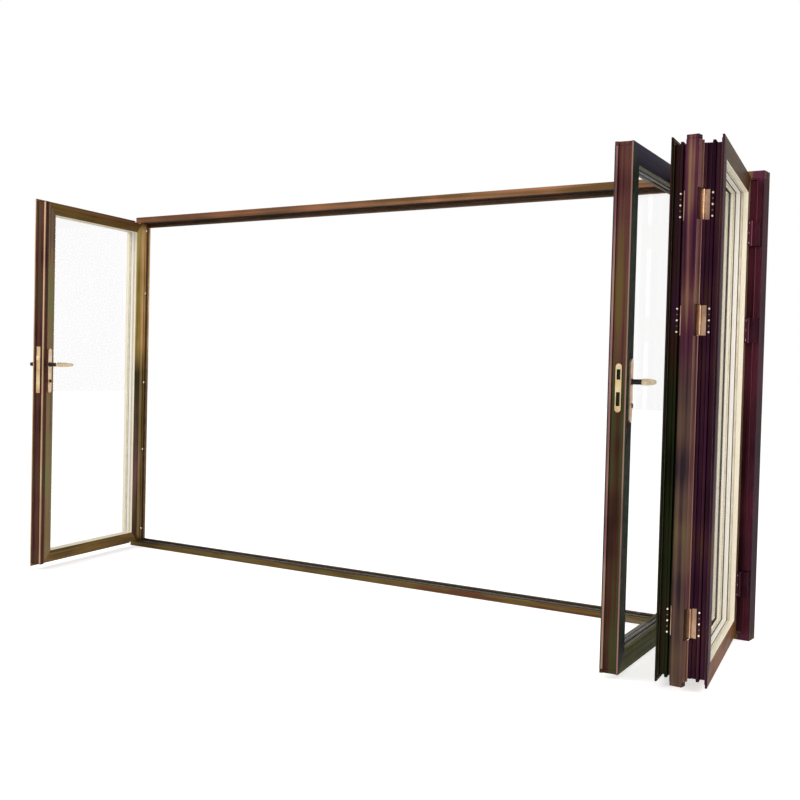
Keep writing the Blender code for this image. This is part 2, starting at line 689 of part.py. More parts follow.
def front_post_outline():
    """Section of the post between leaves 3 and 4, which stands behind their flanges in a closed door."""
    half = POST_WIDTH / 2
    front = LEAF_Y + FLANGE_THICKNESS + POST_FLANGE_GAP
    rear = LEAF_BACK_Y - EDGE_ROUND - LIP_WIDTH - POST_LIP_GAP
    outline = [(half, front), (half, rear), (-half, rear), (-half, front)]
    return rounded(outline, EDGE_ROUND, (0, 1, 2, 3)), rear


def track_post_outline():
    """Section of the post at the track about its middle in X, with depths as in a closed door."""
    half = POST_WIDTH / 2
    neck = half - POST_GROOVE_DEPTH
    middle = LEAF_Y + FLANGE_THICKNESS / 2
    groove_front = middle - POST_GROOVE_WIDTH / 2
    groove_back = middle + POST_GROOVE_WIDTH / 2
    front = groove_front - POST_FRONT_BLOCK
    rear = LEAF_BACK_Y - POST_REAR_GAP
    right = [(half, front), (half, groove_front), (neck, groove_front), (neck, groove_back),
             (half, groove_back), (half, rear)]
    left = [(-x, y) for x, y in reversed(right)]
    return rounded(right + left, EDGE_ROUND, (0, 5, 6, 11)), front, rear


class Post:
    """A hinge post, placed by its middle in X and turned about a plan point of it."""

    def __init__(self, builder, name, location, turn, pivot):
        self.builder = builder
        self.name = name
        self.pivot = pivot
        self.turn = math.radians(turn)
        self.axis = builder.empty(f"{name}_axis", (location[0], location[1], 0.0), turn)
        self.location = Vector(location)

    def shift(self, points):
        """Measure section points from the pivot."""
        return [(x - self.pivot[0], y - self.pivot[1]) for x, y in points]

    def world(self, point):
        """Plan position of a section point in the open pose."""
        local = Vector(point) - Vector(self.pivot)
        return self.location + Matrix.Rotation(self.turn, 2) @ local

    def build_plain(self, outline):
        """A post that passes the head along its whole depth."""
        return self.builder.add(self.name, column(self.shift(outline), BODY_BOTTOM, BODY_TOP), "frame",
                                self.axis)

    def build_stepped(self, outline, rear):
        """A post whose front runs past the frame's face, and whose rear is cut back to pass the head."""
        item = self.builder.add(self.name, column(self.shift(outline), LEAF_BOTTOM, LEAF_TOP), "frame",
                                self.axis)
        beyond = POST_WIDTH
        for low, high in ((LEAF_BOTTOM - beyond, BODY_BOTTOM), (BODY_TOP, LEAF_TOP + beyond)):
            corner = (-beyond - self.pivot[0], FRONT_Y - MOVE_GAP - self.pivot[1], low)
            far = (beyond - self.pivot[0], rear + beyond - self.pivot[1], high)
            self.builder.shape(item, block(corner, far), "DIFFERENCE")
        return item


def build_post_hinges(post, prefix, pins, wings, strap):
    """Double hinges: a strap across the post joins the two knuckles, and each holds a leaf wing."""
    for number, height in enumerate(HINGE_HEIGHTS, 1):
        bottom = height - HINGE_LENGTH / 2
        top = height + HINGE_LENGTH / 2
        item = post.builder.add(f"{prefix}_{number}", column(post.shift(strap), bottom, top), "brass",
                                post.axis)
        for pin, wing in zip(pins, wings):
            knuckle = [(x + pin[0], y + pin[1]) for x, y in barrel(KNUCKLE_RADIUS, [wing])]
            post.builder.shape(item, column(post.shift(knuckle), bottom, top), "UNION")


def edge_wing(hand):
    """Wing in the floor of a leaf's edge groove, from a pin at the leaf's rear corner."""
    face = FLANGE_REACH + POST_TIP_GAP / 2 - REAR_PIN_SPREAD - SEAM
    near = face - WING_THICKNESS
    reach = REAR_PIN_INSET - EDGE_WING
    root = -KNUCKLE_RADIUS * math.sin(math.radians(60))
    corners = [(near, root), (near, reach), (face, reach), (face, 0.0)]
    wing = (math.radians(-60), corners, 0.0)
    return wing if hand < 0 else mirrored(wing)


def front_post_strap():
    """Bracket round the rear of the post between leaves 3 and 4, in plan."""
    outline, rear = front_post_outline()
    half = POST_WIDTH / 2 + SEAM
    outer = half + WING_THICKNESS
    reach = rear - POST_WING
    right = [(half, rear + SEAM), (half, reach), (outer, reach), (outer, REAR_PIN_Y)]
    left = [(-x, y) for x, y in reversed(right)]
    return right + left


def track_post_strap():
    """Plate across the front of the post at the track, in plan."""
    outline, front, rear = track_post_outline()
    back = front - SEAM
    return [(-TRACK_PIN_SPREAD, back), (-TRACK_PIN_SPREAD, back - WING_THICKNESS),
            (TRACK_PIN_SPREAD, back - WING_THICKNESS), (TRACK_PIN_SPREAD, back)]


def build_track_hardware(builder, x):
    """Roller carriage in the head channel and guide shoe in the sill channel."""
    y = FRONT_Y + CHANNEL_CENTRE
    base = FRAME_HEIGHT - HEAD_FACE + (HEAD_CHANNEL_DEPTH - CARRIAGE_HEIGHT) / 2
    half_length = CARRIAGE_LENGTH / 2
    half_width = CARRIAGE_WIDTH / 2
    carriage = builder.add("roller_carriage", block((x - half_length, y - half_width, base),
                                                    (x + half_length, y + half_width,
                                                     base + CARRIAGE_HEIGHT)), "steel")
    builder.shape(carriage, rod((x, y), CARRIAGE_STEM_RADIUS, "Z", BODY_TOP + SEAM,
                                base + CARRIAGE_HEIGHT / 2), "UNION")
    floor = SILL_FACE - SILL_CHANNEL_DEPTH + SEAM
    guide = builder.add("guide_shoe", block((x - GUIDE_LENGTH / 2, y - GUIDE_WIDTH / 2, floor),
                                            (x + GUIDE_LENGTH / 2, y + GUIDE_WIDTH / 2,
                                             floor + GUIDE_HEIGHT)), "steel")
    builder.shape(guide, rod((x, y), CARRIAGE_STEM_RADIUS, "Z", floor + GUIDE_HEIGHT / 2,
                             BODY_BOTTOM - SEAM), "UNION")


def build_traffic_leaf(builder):
    """Leaf 1, hung on the left jamb, with the lock and a lever on each face."""
    edge = -FRAME_WIDTH / 2
    pin = (edge + LEFT_PIN_INSET, LEFT_PIN_Y)
    leaf = Leaf(builder, "traffic_leaf", edge + LEAF_INSET, 1, pin, -TRAFFIC_LEAF_OPEN)
    bars = leaf.build_sash()
    leaf.cut_bore(bars["lock_stile"], 2 * LEAF_DEPTH)
    leaf.build_adapter()
    leaf.build_handle_plate("outer_plate", 0.0, -1)
    leaf.build_handle_plate("inner_plate", LEAF_DEPTH, 1)
    build_lever(leaf, "levers", True)
    build_faceplate(leaf)
    build_swing_hinges(builder, leaf)


def build_folding_leaves(builder):
    """Leaves 2 to 4 and their posts, folded from the right jamb by their pins."""
    edge = FRAME_WIDTH / 2
    hung = edge - LEAF_INSET
    post_x = hung - LEAF_WIDTH - POST_TIP_GAP / 2
    leaf_4 = Leaf(builder, "leaf_4", hung, -1, (edge - RIGHT_PIN_INSET, RIGHT_PIN_Y), LEAF_4_OPEN)
    leaf_4.build_seal_lips(leaf_4.build_sash()["lock_stile"])
    build_jamb_hinges(builder, leaf_4)

    right_pin = (REAR_PIN_SPREAD, REAR_PIN_Y)
    left_pin = (-REAR_PIN_SPREAD, REAR_PIN_Y)
    joint = leaf_4.world((post_x + right_pin[0], right_pin[1]))
    front_post = Post(builder, "front_post", joint, FRONT_POST_TURN, right_pin)
    front_post.build_plain(front_post_outline()[0])

    front_joint = front_post.world(left_pin)
    track_x = post_x - POST_TIP_GAP - LEAF_WIDTH
    closed_front = Vector((post_x + left_pin[0], left_pin[1]))
    closed_track = Vector((track_x + TRACK_PIN_SPREAD, TRACK_PIN_Y))
    span = (closed_front - closed_track).length
    drop = front_joint.y - TRACK_PIN_Y
    track_joint = Vector((front_joint.x - math.sqrt(span ** 2 - drop ** 2), TRACK_PIN_Y))
    closed_angle = math.atan2(*reversed(closed_front - closed_track))
    open_angle = math.atan2(*reversed(front_joint - track_joint))
    turn_3 = math.degrees(open_angle - closed_angle)
    leaf_3 = Leaf(builder, "leaf_3", 0.0, 1, (0.0, 0.0), 0.0)
    leaf_3.hung_x = closed_track.x - TRACK_PIN_SPREAD + POST_TIP_GAP / 2
    leaf_3.pin = tuple(closed_track)
    leaf_3.turn = turn_3
    leaf_3.axis.location = (track_joint.x, track_joint.y, 0.0)
    leaf_3.axis.rotation_euler.z = math.radians(turn_3)
    leaf_3.build_seal_lips(leaf_3.build_sash()["lock_stile"])

    track_post_x = track_joint.x - TRACK_PIN_SPREAD
    track_post = Post(builder, "track_post", (track_post_x, 0.0), 0.0, (0.0, 0.0))
    outline, front, rear = track_post_outline()
    track_post.build_stepped(outline, rear)
    build_track_hardware(builder, track_post_x)

    pin_2 = (track_post_x - TRACK_PIN_SPREAD, TRACK_PIN_Y)
    hung_2 = track_post_x - POST_TIP_GAP / 2
    leaf_2 = Leaf(builder, "leaf_2", hung_2, -1, pin_2, LEAF_2_OPEN)
    bars = leaf_2.build_sash()
    leaf_2.cut_bore(bars["lock_stile"], BLIND_BORE)
    adapter = leaf_2.build_adapter()
    build_strike(leaf_2, adapter)
    leaf_2.build_handle_plate("handle_plate", 0.0, -1)
    build_lever(leaf_2, "lever", False)

    post_turn = front_post.turn
    wing_4 = turned_wing(edge_wing(-1), math.radians(leaf_4.turn) - post_turn)
    wing_3 = turned_wing(edge_wing(1), math.radians(leaf_3.turn) - post_turn)
    build_post_hinges(front_post, "front_post_hinge", (right_pin, left_pin), (wing_4, wing_3),
                      front_post_strap())
    pins = ((TRACK_PIN_SPREAD, TRACK_PIN_Y), (-TRACK_PIN_SPREAD, TRACK_PIN_Y))
    wings = (turned_wing(leaf_wing(1, TRACK_PIN_OFFSET), math.radians(leaf_3.turn)),
             turned_wing(leaf_wing(-1, TRACK_PIN_OFFSET), math.radians(leaf_2.turn)))
    build_post_hinges(track_post, "track_post_hinge", pins, wings, track_post_strap())


def main():
    """Build the frame, the traffic leaf and the folded stack."""
    clear_scene()
    builder = Builder()
    build_frame(builder)
    build_traffic_leaf(builder)
    build_folding_leaves(builder)
    bpy.context.view_layer.update()


main()
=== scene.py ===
"""Looks of a bifold glass patio door with four leaves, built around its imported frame.

The bars, hinges and plates of the frame keep their shapes and get the finish of the real metal. The glass,
gaskets, glazing beads, brushes, levers, screws and track parts are made here. Lengths are in metres. A leaf
is dressed in its own upright plane: X along it from the edge that it hangs on, Y up, Z through its depth.
"""
from __future__ import annotations

import logging
import math
from dataclasses import asdict, dataclass
from enum import Enum
from typing import ClassVar, Iterable, Sequence

import bmesh
import bpy
from mathutils import Matrix, Vector

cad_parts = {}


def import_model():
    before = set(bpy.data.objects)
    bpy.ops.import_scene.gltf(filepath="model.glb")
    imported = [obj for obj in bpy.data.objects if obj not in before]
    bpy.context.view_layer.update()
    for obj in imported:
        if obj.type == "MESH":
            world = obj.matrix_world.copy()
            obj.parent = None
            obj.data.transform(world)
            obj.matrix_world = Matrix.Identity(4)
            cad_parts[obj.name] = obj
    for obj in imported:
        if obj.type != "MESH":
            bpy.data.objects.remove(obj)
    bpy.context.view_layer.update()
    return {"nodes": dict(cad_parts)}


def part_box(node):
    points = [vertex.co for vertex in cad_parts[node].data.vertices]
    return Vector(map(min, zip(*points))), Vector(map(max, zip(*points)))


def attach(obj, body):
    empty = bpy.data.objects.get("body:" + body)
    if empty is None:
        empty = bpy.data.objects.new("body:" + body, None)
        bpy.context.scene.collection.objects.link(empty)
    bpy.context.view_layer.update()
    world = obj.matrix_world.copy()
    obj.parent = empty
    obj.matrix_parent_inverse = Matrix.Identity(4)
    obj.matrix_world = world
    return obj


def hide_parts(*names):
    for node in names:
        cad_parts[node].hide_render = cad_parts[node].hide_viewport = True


LOG = logging.getLogger("patio_door")
FIXED = "frame_and_stack"
SWINGING = "traffic_leaf"
WHITE = "#ffffff"
FIT = 0.0002  # gap between pieces that meet
SMOOTH_TO = 35.0  # degrees between faces up to which a round surface is shaded smooth
SRGB_TOE, SRGB_SLOPE, SRGB_OFFSET, SRGB_POWER = 0.04045, 12.92, 0.055, 2.4
NOISE_LOW, NOISE_HIGH = 0.32, 0.68  # where most of a noise lies
MIX_FIRST, MIX_SECOND, MIX_RESULT = 6, 7, 2  # colour sockets of a Mix node


class Run(Enum):
    """Which way a bar was pressed through its die, so which way its lines run."""

    UPRIGHT = "upright"
    LEVEL = "level"


class Hand(Enum):
    """Side that a leaf hangs on when the door is closed and seen from the side it opens to."""

    LEFT = 1
    RIGHT = -1


def colour(code: str) -> tuple[float, float, float, float]:
    """Turn an sRGB hex colour to the linear one that a shader takes.

    Args:
        code: The colour as #rrggbb.

    Returns:
        Red, green, blue and an alpha of 1.
    """
    shares = [int(code[start:start + 2], 16) / 255 for start in (1, 3, 5)]
    linear = [share / SRGB_SLOPE if share <= SRGB_TOE else ((share + SRGB_OFFSET) / (1 + SRGB_OFFSET)) ** SRGB_POWER
              for share in shares]
    return (*linear, 1.0)


def add_node(tree: bpy.types.NodeTree, kind: str, inputs: dict | None = None, **settings: object) -> bpy.types.Node:
    """Add a node with its settings and its links.

    Args:
        tree: The tree that gets the node.
        kind: The node's type name.
        inputs: For each socket, by name or number, the socket that feeds it or its plain value.
        settings: The node's own properties.

    Returns:
        The new node.
    """
    node = tree.nodes.new(kind)
    for name, value in settings.items():
        setattr(node, name, value)
    for name, value in (inputs or {}).items():
        if isinstance(value, bpy.types.NodeSocket):
            tree.links.new(value, node.inputs[name])
        else:
            node.inputs[name].default_value = value
    return node


def empty_material(name: str) -> tuple[bpy.types.Material, bpy.types.NodeTree]:
    """Make a material without nodes.

    Args:
        name: The material's name.

    Returns:
        The material and its tree.
    """
    material = bpy.data.materials.new(name)
    material.use_nodes = True
    material.node_tree.nodes.clear()
    return material, material.node_tree


def real_noise(tree: bpy.types.NodeTree, steps: Sequence[float], heading: float = 0.0,
               detail: float = 2.0) -> bpy.types.NodeSocket:
    """Noise whose steps have real lengths on the piece.

    Args:
        tree: The material's tree.
        steps: Length of one pattern step along X, Y and Z, in metres.
        heading: Angle in plan that the pattern's X is turned to.
        detail: Finer layers in the noise.

    Returns:
        The noise's value, which lies mostly between NOISE_LOW and NOISE_HIGH.
    """
    place = add_node(tree, "ShaderNodeTexCoord").outputs["Object"]
    turned = add_node(tree, "ShaderNodeMapping", {"Vector": place, "Rotation": (0.0, 0.0, -heading)}).outputs[0]
    scale = tuple(1.0 / step for step in steps)
    scaled = add_node(tree, "ShaderNodeMapping", {"Vector": turned, "Scale": scale}).outputs[0]
    inputs = {"Vector": scaled, "Scale": 1.0, "Detail": detail}
    return add_node(tree, "ShaderNodeTexNoise", inputs).outputs["Fac"]


def tone_between(tree: bpy.types.NodeTree, noise: bpy.types.NodeSocket, first: str,
                 second: str) -> bpy.types.NodeSocket:
    """A colour that drifts between two with a noise.

    Args:
        tree: The material's tree.
        noise: The noise.
        first: Colour where the noise is low, as #rrggbb.
        second: Colour where it is high.

    Returns:
        The colour socket.
    """
    inputs = {"Value": noise, "From Min": NOISE_LOW, "From Max": NOISE_HIGH}
    share = add_node(tree, "ShaderNodeMapRange", inputs).outputs["Result"]
    inputs = {"Factor": share, MIX_FIRST: colour(first), MIX_SECOND: colour(second)}
    return add_node(tree, "ShaderNodeMix", inputs, data_type="RGBA").outputs[MIX_RESULT]


def skin(tree: bpy.types.NodeTree, noise: bpy.types.NodeSocket, smooth: float, rough: float,
         depth: float) -> dict[str, bpy.types.NodeSocket]:
    """Roughness and relief that follow one noise.

    Args:
        tree: The material's tree.
        noise: The noise.
        smooth: Roughness where the noise is low.
        rough: Roughness where it is high.
        depth: Real depth of the relief, in metres.

    Returns:
        The shader's inputs for both.
    """
    inputs = {"Value": noise, "From Min": NOISE_LOW, "From Max": NOISE_HIGH, "To Min": smooth, "To Max": rough}
    level = add_node(tree, "ShaderNodeMapRange", inputs).outputs["Result"]
    inputs = {"Height": noise, "Distance": depth, "Strength": 1.0}
    return {"Roughness": level, "Normal": add_node(tree, "ShaderNodeBump", inputs).outputs[0]}


def close_material(material: bpy.types.Material, inputs: dict) -> bpy.types.Material:
    """End a material in a Principled shader.

    Args:
        material: The material.
        inputs: What feeds the shader.

    Returns:
        The material.
    """
    tree = material.node_tree
    shader = add_node(tree, "ShaderNodeBsdfPrincipled", inputs).outputs[0]
    add_node(tree, "ShaderNodeOutputMaterial", {"Surface": shader})
    return material


@dataclass(frozen=True)
class AnodisedBar:
    """Aluminium 6063, extruded, etched and anodised dark bronze.

    The eye gets a satin skin that drifts between plum, brown and olive, as a thick anodic film does, in
    long bands about 15 mm wide, with faint die lines along the bar. The real lines are 0.3 mm apart, and
    they are drawn 2.5 mm apart so that they show. The film soaks up light, so the skin stays dark where
    it is seen along its face. Below a height a bar can take other, mostly darker tones: partly a change
    of tone down the bar, partly painted light, which leaves a painted highlight on the upper part.
    """

    name: str
    run: Run = Run.UPRIGHT
    heading: float = 0.0
    tones: tuple[str, ...] = ("#3a2228", "#4a3020", "#5c4a2c")
    drift: float = 0.34
    band: float = 0.015
    band_length: float = 1.10
    band_reach: tuple[float, float] = (0.76, 1.24)
    line_gap: float = 0.0025
    line_length: float = 0.60
    line_depth: float = 0.00004
    metal: float = 0.70
    gloss: float = 0.20
    gloss_tint: str = "#55504c"
    smooth: float = 0.30
    rough: float = 0.44
    # Tones below a height, mostly darker: partly painted light, with a painted highlight above the turn.
    lower: tuple[str, ...] = ()
    turn: float = 1.20
    turn_half: float = 0.09

    def steps(self, across: float, along: float) -> tuple[float, float, float]:
        """Pattern steps across the bar and along it, in the order of the axes."""
        return (along, across, across) if self.run is Run.LEVEL else (across, across, along)

    def film(self, tree: bpy.types.NodeTree, share: bpy.types.NodeSocket,
             codes: Sequence[str]) -> bpy.types.NodeSocket:
        """Run through evenly spaced tones of the film.

        Args:
            tree: The material's tree.
            share: Place between the first tone and the last.
            codes: The tones, as #rrggbb.

        Returns:
            The colour socket.
        """
        node = add_node(tree, "ShaderNodeValToRGB", {0: share})
        stops = node.color_ramp.elements
        last = len(codes) - 1
        stops[0].color = colour(codes[0])
        stops[-1].color = colour(codes[last])
        for index in range(1, last):
            stops.new(index / last).color = colour(codes[index])
        return node.outputs[0]

    def tint(self, tree: bpy.types.NodeTree) -> bpy.types.NodeSocket:
        """Colour of the film, with the tones of the lower end where the bar has them.

        Args:
            tree: The material's tree.

        Returns:
            The colour socket.
        """
        wide = real_noise(tree, (self.drift,) * 3)
        bands = real_noise(tree, self.steps(self.band, self.band_length), self.heading, 1.0)
        both = add_node(tree, "ShaderNodeMath", {0: wide, 1: bands}, operation="ADD").outputs[0]
        inputs = {"Value": both, "From Min": self.band_reach[0], "From Max": self.band_reach[1]}
        share = add_node(tree, "ShaderNodeMapRange", inputs).outputs[0]
        upper = self.film(tree, share, self.tones)
        if not self.lower:
            return upper
        # Below the turn the lower tones take over: partly painted light, lighter above as a painted highlight.
        place = add_node(tree, "ShaderNodeTexCoord").outputs["Object"]
        height = add_node(tree, "ShaderNodeSeparateXYZ", {0: place}).outputs["Z"]
        inputs = {"Value": height, "From Min": self.turn - self.turn_half, "From Max": self.turn + self.turn_half}
        above = add_node(tree, "ShaderNodeMapRange", inputs).outputs[0]
        inputs = {"Factor": above, MIX_FIRST: self.film(tree, share, self.lower), MIX_SECOND: upper}
        return add_node(tree, "ShaderNodeMix", inputs, data_type="RGBA").outputs[MIX_RESULT]

    def build(self) -> bpy.types.Material:
        """Lay the nodes of the finish.

        Returns:
            The material.
        """
        material, tree = empty_material(self.name)
        lines = real_noise(tree, self.steps(self.line_gap, self.line_length), self.heading, 3.0)
        return close_material(material, {
            "Base Color": self.tint(tree), "Metallic": self.metal, "Specular IOR Level": self.gloss,
            "Specular Tint": colour(self.gloss_tint),
            **skin(tree, lines, self.smooth, self.rough, self.line_depth),
        })


@dataclass(frozen=True)
class ExtrudedRubber:
    """EPDM rubber, extruded and cured.

    The eye gets a dull strip with a soft bloom and a skin that is slightly uneven. The grain is 0.4 mm in
    the real strip, and it is drawn at 1.5 mm so that it shows.
    """

    name: str = "epdm_rubber_extruded"
    deep: str = "#0d0c0b"
    bloom: str = "#221f1c"
    cloud: float = 0.05
    grain: float = 0.0015
    grain_depth: float = 0.00005
    smooth: float = 0.55
    rough: float = 0.75

    def build(self) -> bpy.types.Material:
        """Lay the nodes of the finish.

        Returns:
            The material.
        """
        material, tree = empty_material(self.name)
        grain = real_noise(tree, (self.grain,) * 3, detail=3.0)
        cloud = real_noise(tree, (self.cloud,) * 3)
        return close_material(material, {"Base Color": tone_between(tree, cloud, self.deep, self.bloom),
                                         **skin(tree, grain, self.smooth, self.rough, self.grain_depth)})


@dataclass(frozen=True)
class WovenPile:
    """Polypropylene pile, woven into a backing strip.

    The eye gets a row of dull charcoal bristles, each a little lighter or darker than the next.
    """

    name: str = "polypropylene_pile_woven"
    dark: str = "#1b1916"
    light: str = "#3a362f"
    tuft: float = 0.004
    rough: float = 0.95
    fuzz: float = 0.25
    fuzz_rough: float = 0.5

    def build(self) -> bpy.types.Material:
        """Lay the nodes of the finish.

        Returns:
            The material.
        """
        material, tree = empty_material(self.name)
        tufts = real_noise(tree, (self.tuft,) * 3, detail=1.0)
        return close_material(material, {"Base Color": tone_between(tree, tufts, self.dark, self.light),
                                         "Roughness": self.rough, "Sheen Weight": self.fuzz,
                                         "Sheen Roughness": self.fuzz_rough})


@dataclass(frozen=True)
class FloatGlass:
    """Soda-lime glass, floated and cut.

    The eye gets a pane so clear that its faint reflections hardly show, even seen along its face, as
    glass with a reflection-cutting coat has. A thin film softens them a little in places.
    """

    name: str = "soda_lime_glass_floated"
    body: str = "#fdfffe"
    ior: float = 1.5
    film: float = 0.30
    blur: float = 0.008
    presence: float = 0.06

    def build(self) -> bpy.types.Material:
        """Lay the nodes of the finish.

        Returns:
            The material.
        """
        material, tree = empty_material(self.name)
        film = real_noise(tree, (self.film,) * 3, detail=4.0)
        inputs = {"Value": film, "From Min": NOISE_LOW, "From Max": NOISE_HIGH, "To Min": 0.0, "To Max": self.blur}
        blur = add_node(tree, "ShaderNodeMapRange", inputs).outputs["Result"]
        return close_material(material, {"Base Color": colour(self.body), "Transmission Weight": 1.0,
                                         "IOR": self.ior, "Alpha": self.presence, "Roughness": blur})


@dataclass(frozen=True)
class BrushedMetal:
    """A metal plate or wing, brushed along its length and lacquered.

    The eye gets a bright warm metal whose highlight is drawn out across the brush lines. The real lines
    are 0.1 mm apart, and they are drawn 0.8 mm apart so that they show.
    """

    name: str
    dark: str
    light: str
    line_gap: float = 0.0008
    line_length: float = 0.05
    line_depth: float = 0.00002
    wear: float = 0.06
    smooth: float = 0.22
    rough: float = 0.36

    def build(self) -> bpy.types.Material:
        """Lay the nodes of the finish.

        Returns:
            The material.
        """
        material, tree = empty_material(self.name)
        lines = real_noise(tree, (self.line_gap, self.line_gap, self.line_length))
        wear = real_noise(tree, (self.wear,) * 3, detail=3.0)
        return close_material(material, {"Base Color": tone_between(tree, wear, self.dark, self.light),
                                         "Metallic": 1.0,
                                         **skin(tree, lines, self.smooth, self.rough, self.line_depth)})


@dataclass(frozen=True)
class PolishedCasting:
    """Zinc alloy, die cast, polished and plated.

    The eye gets a smooth rounded metal with soft broad highlights and a slow waviness from the polishing
    wheel, about 12 mm from wave to wave.
    """

    name: str
    dark: str
    light: str
    wave: float = 0.012
    wave_depth: float = 0.00006
    rough: float = 0.24
    rough_half: float = 0.06

    def build(self) -> bpy.types.Material:
        """Lay the nodes of the finish.

        Returns:
            The material.
        """
        material, tree = empty_material(self.name)
        wave = real_noise(tree, (self.wave,) * 3)
        uneven = skin(tree, wave, self.rough - self.rough_half, self.rough + self.rough_half, self.wave_depth)
        return close_material(material, {"Base Color": tone_between(tree, wave, self.dark, self.light),
                                         "Metallic": 1.0, **uneven})


@dataclass(frozen=True)
class MouldedNylon:
    """Nylon with glass fibre, injection moulded.

    The eye gets a hard plastic with the fine spark texture of its mould, which is drawn at 1 mm so that
    it shows.
    """

    name: str
    body: str
    fleck: str
    grain: float = 0.001
    grain_depth: float = 0.00003
    gloss: float = 0.25
    rough: float = 0.45
    rough_half: float = 0.08

    def build(self) -> bpy.types.Material:
        """Lay the nodes of the finish.

        Returns:
            The material.
        """
        material, tree = empty_material(self.name)
        grain = real_noise(tree, (self.grain,) * 3)
        uneven = skin(tree, grain, self.rough - self.rough_half, self.rough + self.rough_half, self.grain_depth)
        return close_material(material, {"Base Color": tone_between(tree, grain, self.body, self.fleck),
                                         "Specular IOR Level": self.gloss, **uneven})


@dataclass(frozen=True)
class StudioGround:
    """Matt paint, rolled on the studio's floor: white to the camera, and it keeps the door's shadow."""

    name: str = "matt_white_paint_rolled"
    paint: str = "#e6e6e6"
    glow: float = 0.62
    nap: float = 0.02
    nap_depth: float = 0.0001

    def build(self) -> bpy.types.Material:
        """Lay the nodes of the finish.

        Returns:
            The material.
        """
        material, tree = empty_material(self.name)
        nap = real_noise(tree, (self.nap,) * 3)
        inputs = {"Height": nap, "Distance": self.nap_depth, "Strength": 1.0}
        relief = add_node(tree, "ShaderNodeBump", inputs).outputs[0]
        inputs = {"Color": colour(self.paint), "Normal": relief}
        matt = add_node(tree, "ShaderNodeBsdfDiffuse", inputs).outputs[0]
        seen = seen_rays(tree)
        lift = add_node(tree, "ShaderNodeMath", {0: seen, 1: self.glow}, operation="MULTIPLY").outputs[0]
        glow = add_node(tree, "ShaderNodeEmission", {"Color": colour(WHITE), "Strength": lift}).outputs[0]
        both = add_node(tree, "ShaderNodeAddShader", {0: matt, 1: glow}).outputs[0]
        add_node(tree, "ShaderNodeOutputMaterial", {"Surface": both})
        return material


def seen_rays(tree: bpy.types.NodeTree) -> bpy.types.NodeSocket:
    """Tell what the camera sees, straight, in a reflection or through glass, from light.

    Args:
        tree: Tree of a material or of the world.

    Returns:
        1 for what the camera sees and 0 for light.
    """
    path = add_node(tree, "ShaderNodeLightPath").outputs
    either = add_node(tree, "ShaderNodeMath", {0: path["Is Camera Ray"], 1: path["Is Glossy Ray"]},
                      operation="MAXIMUM").outputs[0]
    return add_node(tree, "ShaderNodeMath", {0: either, 1: path["Is Transmission Ray"]},
                    operation="MAXIMUM").outputs[0]


def slab(low: Sequence[float], high: Sequence[float], arris: float, target: bmesh.types.BMesh,
         steps: int = 1) -> None:
    """Add a block with broken edges to a mesh.

    Args:
        low: Lowest corner.
        high: Highest corner.
        arris: Width of the broken edge.
        target: The mesh that gets the block.
        steps: Segments of the broken edge.
    """
    made = bmesh.ops.create_cube(target, size=1.0)["verts"]
    for vert in made:
        vert.co = Vector([low[i] + (vert.co[i] + 0.5) * (high[i] - low[i]) for i in range(3)])
    edges = list({edge for vert in made for edge in vert.link_edges})
    bmesh.ops.bevel(target, geom=edges, offset=arris, segments=steps, affect="EDGES", profile=0.5)


def turned(profile: Sequence[tuple[float, float]], target: bmesh.types.BMesh, steps: int) -> None:
    """Add a body turned about Z to a mesh.

    Args:
        profile: Radius and height of each ring, from one end to the other, first and last on the axis.
        target: The mesh that gets the body.
        steps: Sides of the body.
    """
    rings: list[list[bmesh.types.BMVert]] = []
    for radius, height in profile:
        count = steps if radius > 0.0 else 1
        rings.append([target.verts.new((radius * math.cos(math.tau * step / steps),
                                        radius * math.sin(math.tau * step / steps), height))
                      for step in range(count)])
    made = []
    for lower, upper in zip(rings, rings[1:]):
        for step in range(steps):
            corners = [lower[step % len(lower)], lower[(step + 1) % len(lower)],
                       upper[(step + 1) % len(upper)], upper[step % len(upper)]]
            made.append(target.faces.new(list(dict.fromkeys(corners))))
    bmesh.ops.recalc_face_normals(target, faces=made)


def lofted(rings: Sequence[Sequence[Vector]], target: bmesh.types.BMesh) -> None:
    """Add a closed body through rings of as many points each, with both ends filled.

    Args:
        rings: The rings, from one end to the other.
        target: The mesh that gets the body.
    """
    loops = [[target.verts.new(point) for point in ring] for ring in rings]
    made = [target.faces.new(loops[0]), target.faces.new(loops[-1])]
    for first, second in zip(loops, loops[1:]):
        for index in range(len(first)):
            after = (index + 1) % len(first)
            made.append(target.faces.new((first[index], first[after], second[after], second[index])))
    bmesh.ops.recalc_face_normals(target, faces=made)


def to_mesh(name: str, body: bmesh.types.BMesh, material: bpy.types.Material, smooth: bool = False) -> bpy.types.Mesh:
    """Close a bmesh into a mesh with one material.

    Args:
        name: The mesh's name.
        body: The bmesh, which is freed.
        material: Its material.
        smooth: Whether round faces are shaded smooth.

    Returns:
        The mesh.
    """
    mesh = bpy.data.meshes.new(name)
    body.to_mesh(mesh)
    body.free()
    mesh.materials.append(material)
    if smooth:
        mesh.shade_smooth()
        mesh.set_sharp_from_angle(angle=math.radians(SMOOTH_TO))
    return mesh


def place_mesh(mesh: bpy.types.Mesh, matrix: Matrix) -> bpy.types.Mesh:
    """Bake a place into a mesh, and turn its faces out again where the place mirrors it.

    Args:
        mesh: The mesh.
        matrix: Its place.

    Returns:
        The same mesh.
    """
    mesh.transform(matrix)
    if matrix.to_3x3().determinant() < 0.0:
        mesh.flip_normals()
    return mesh


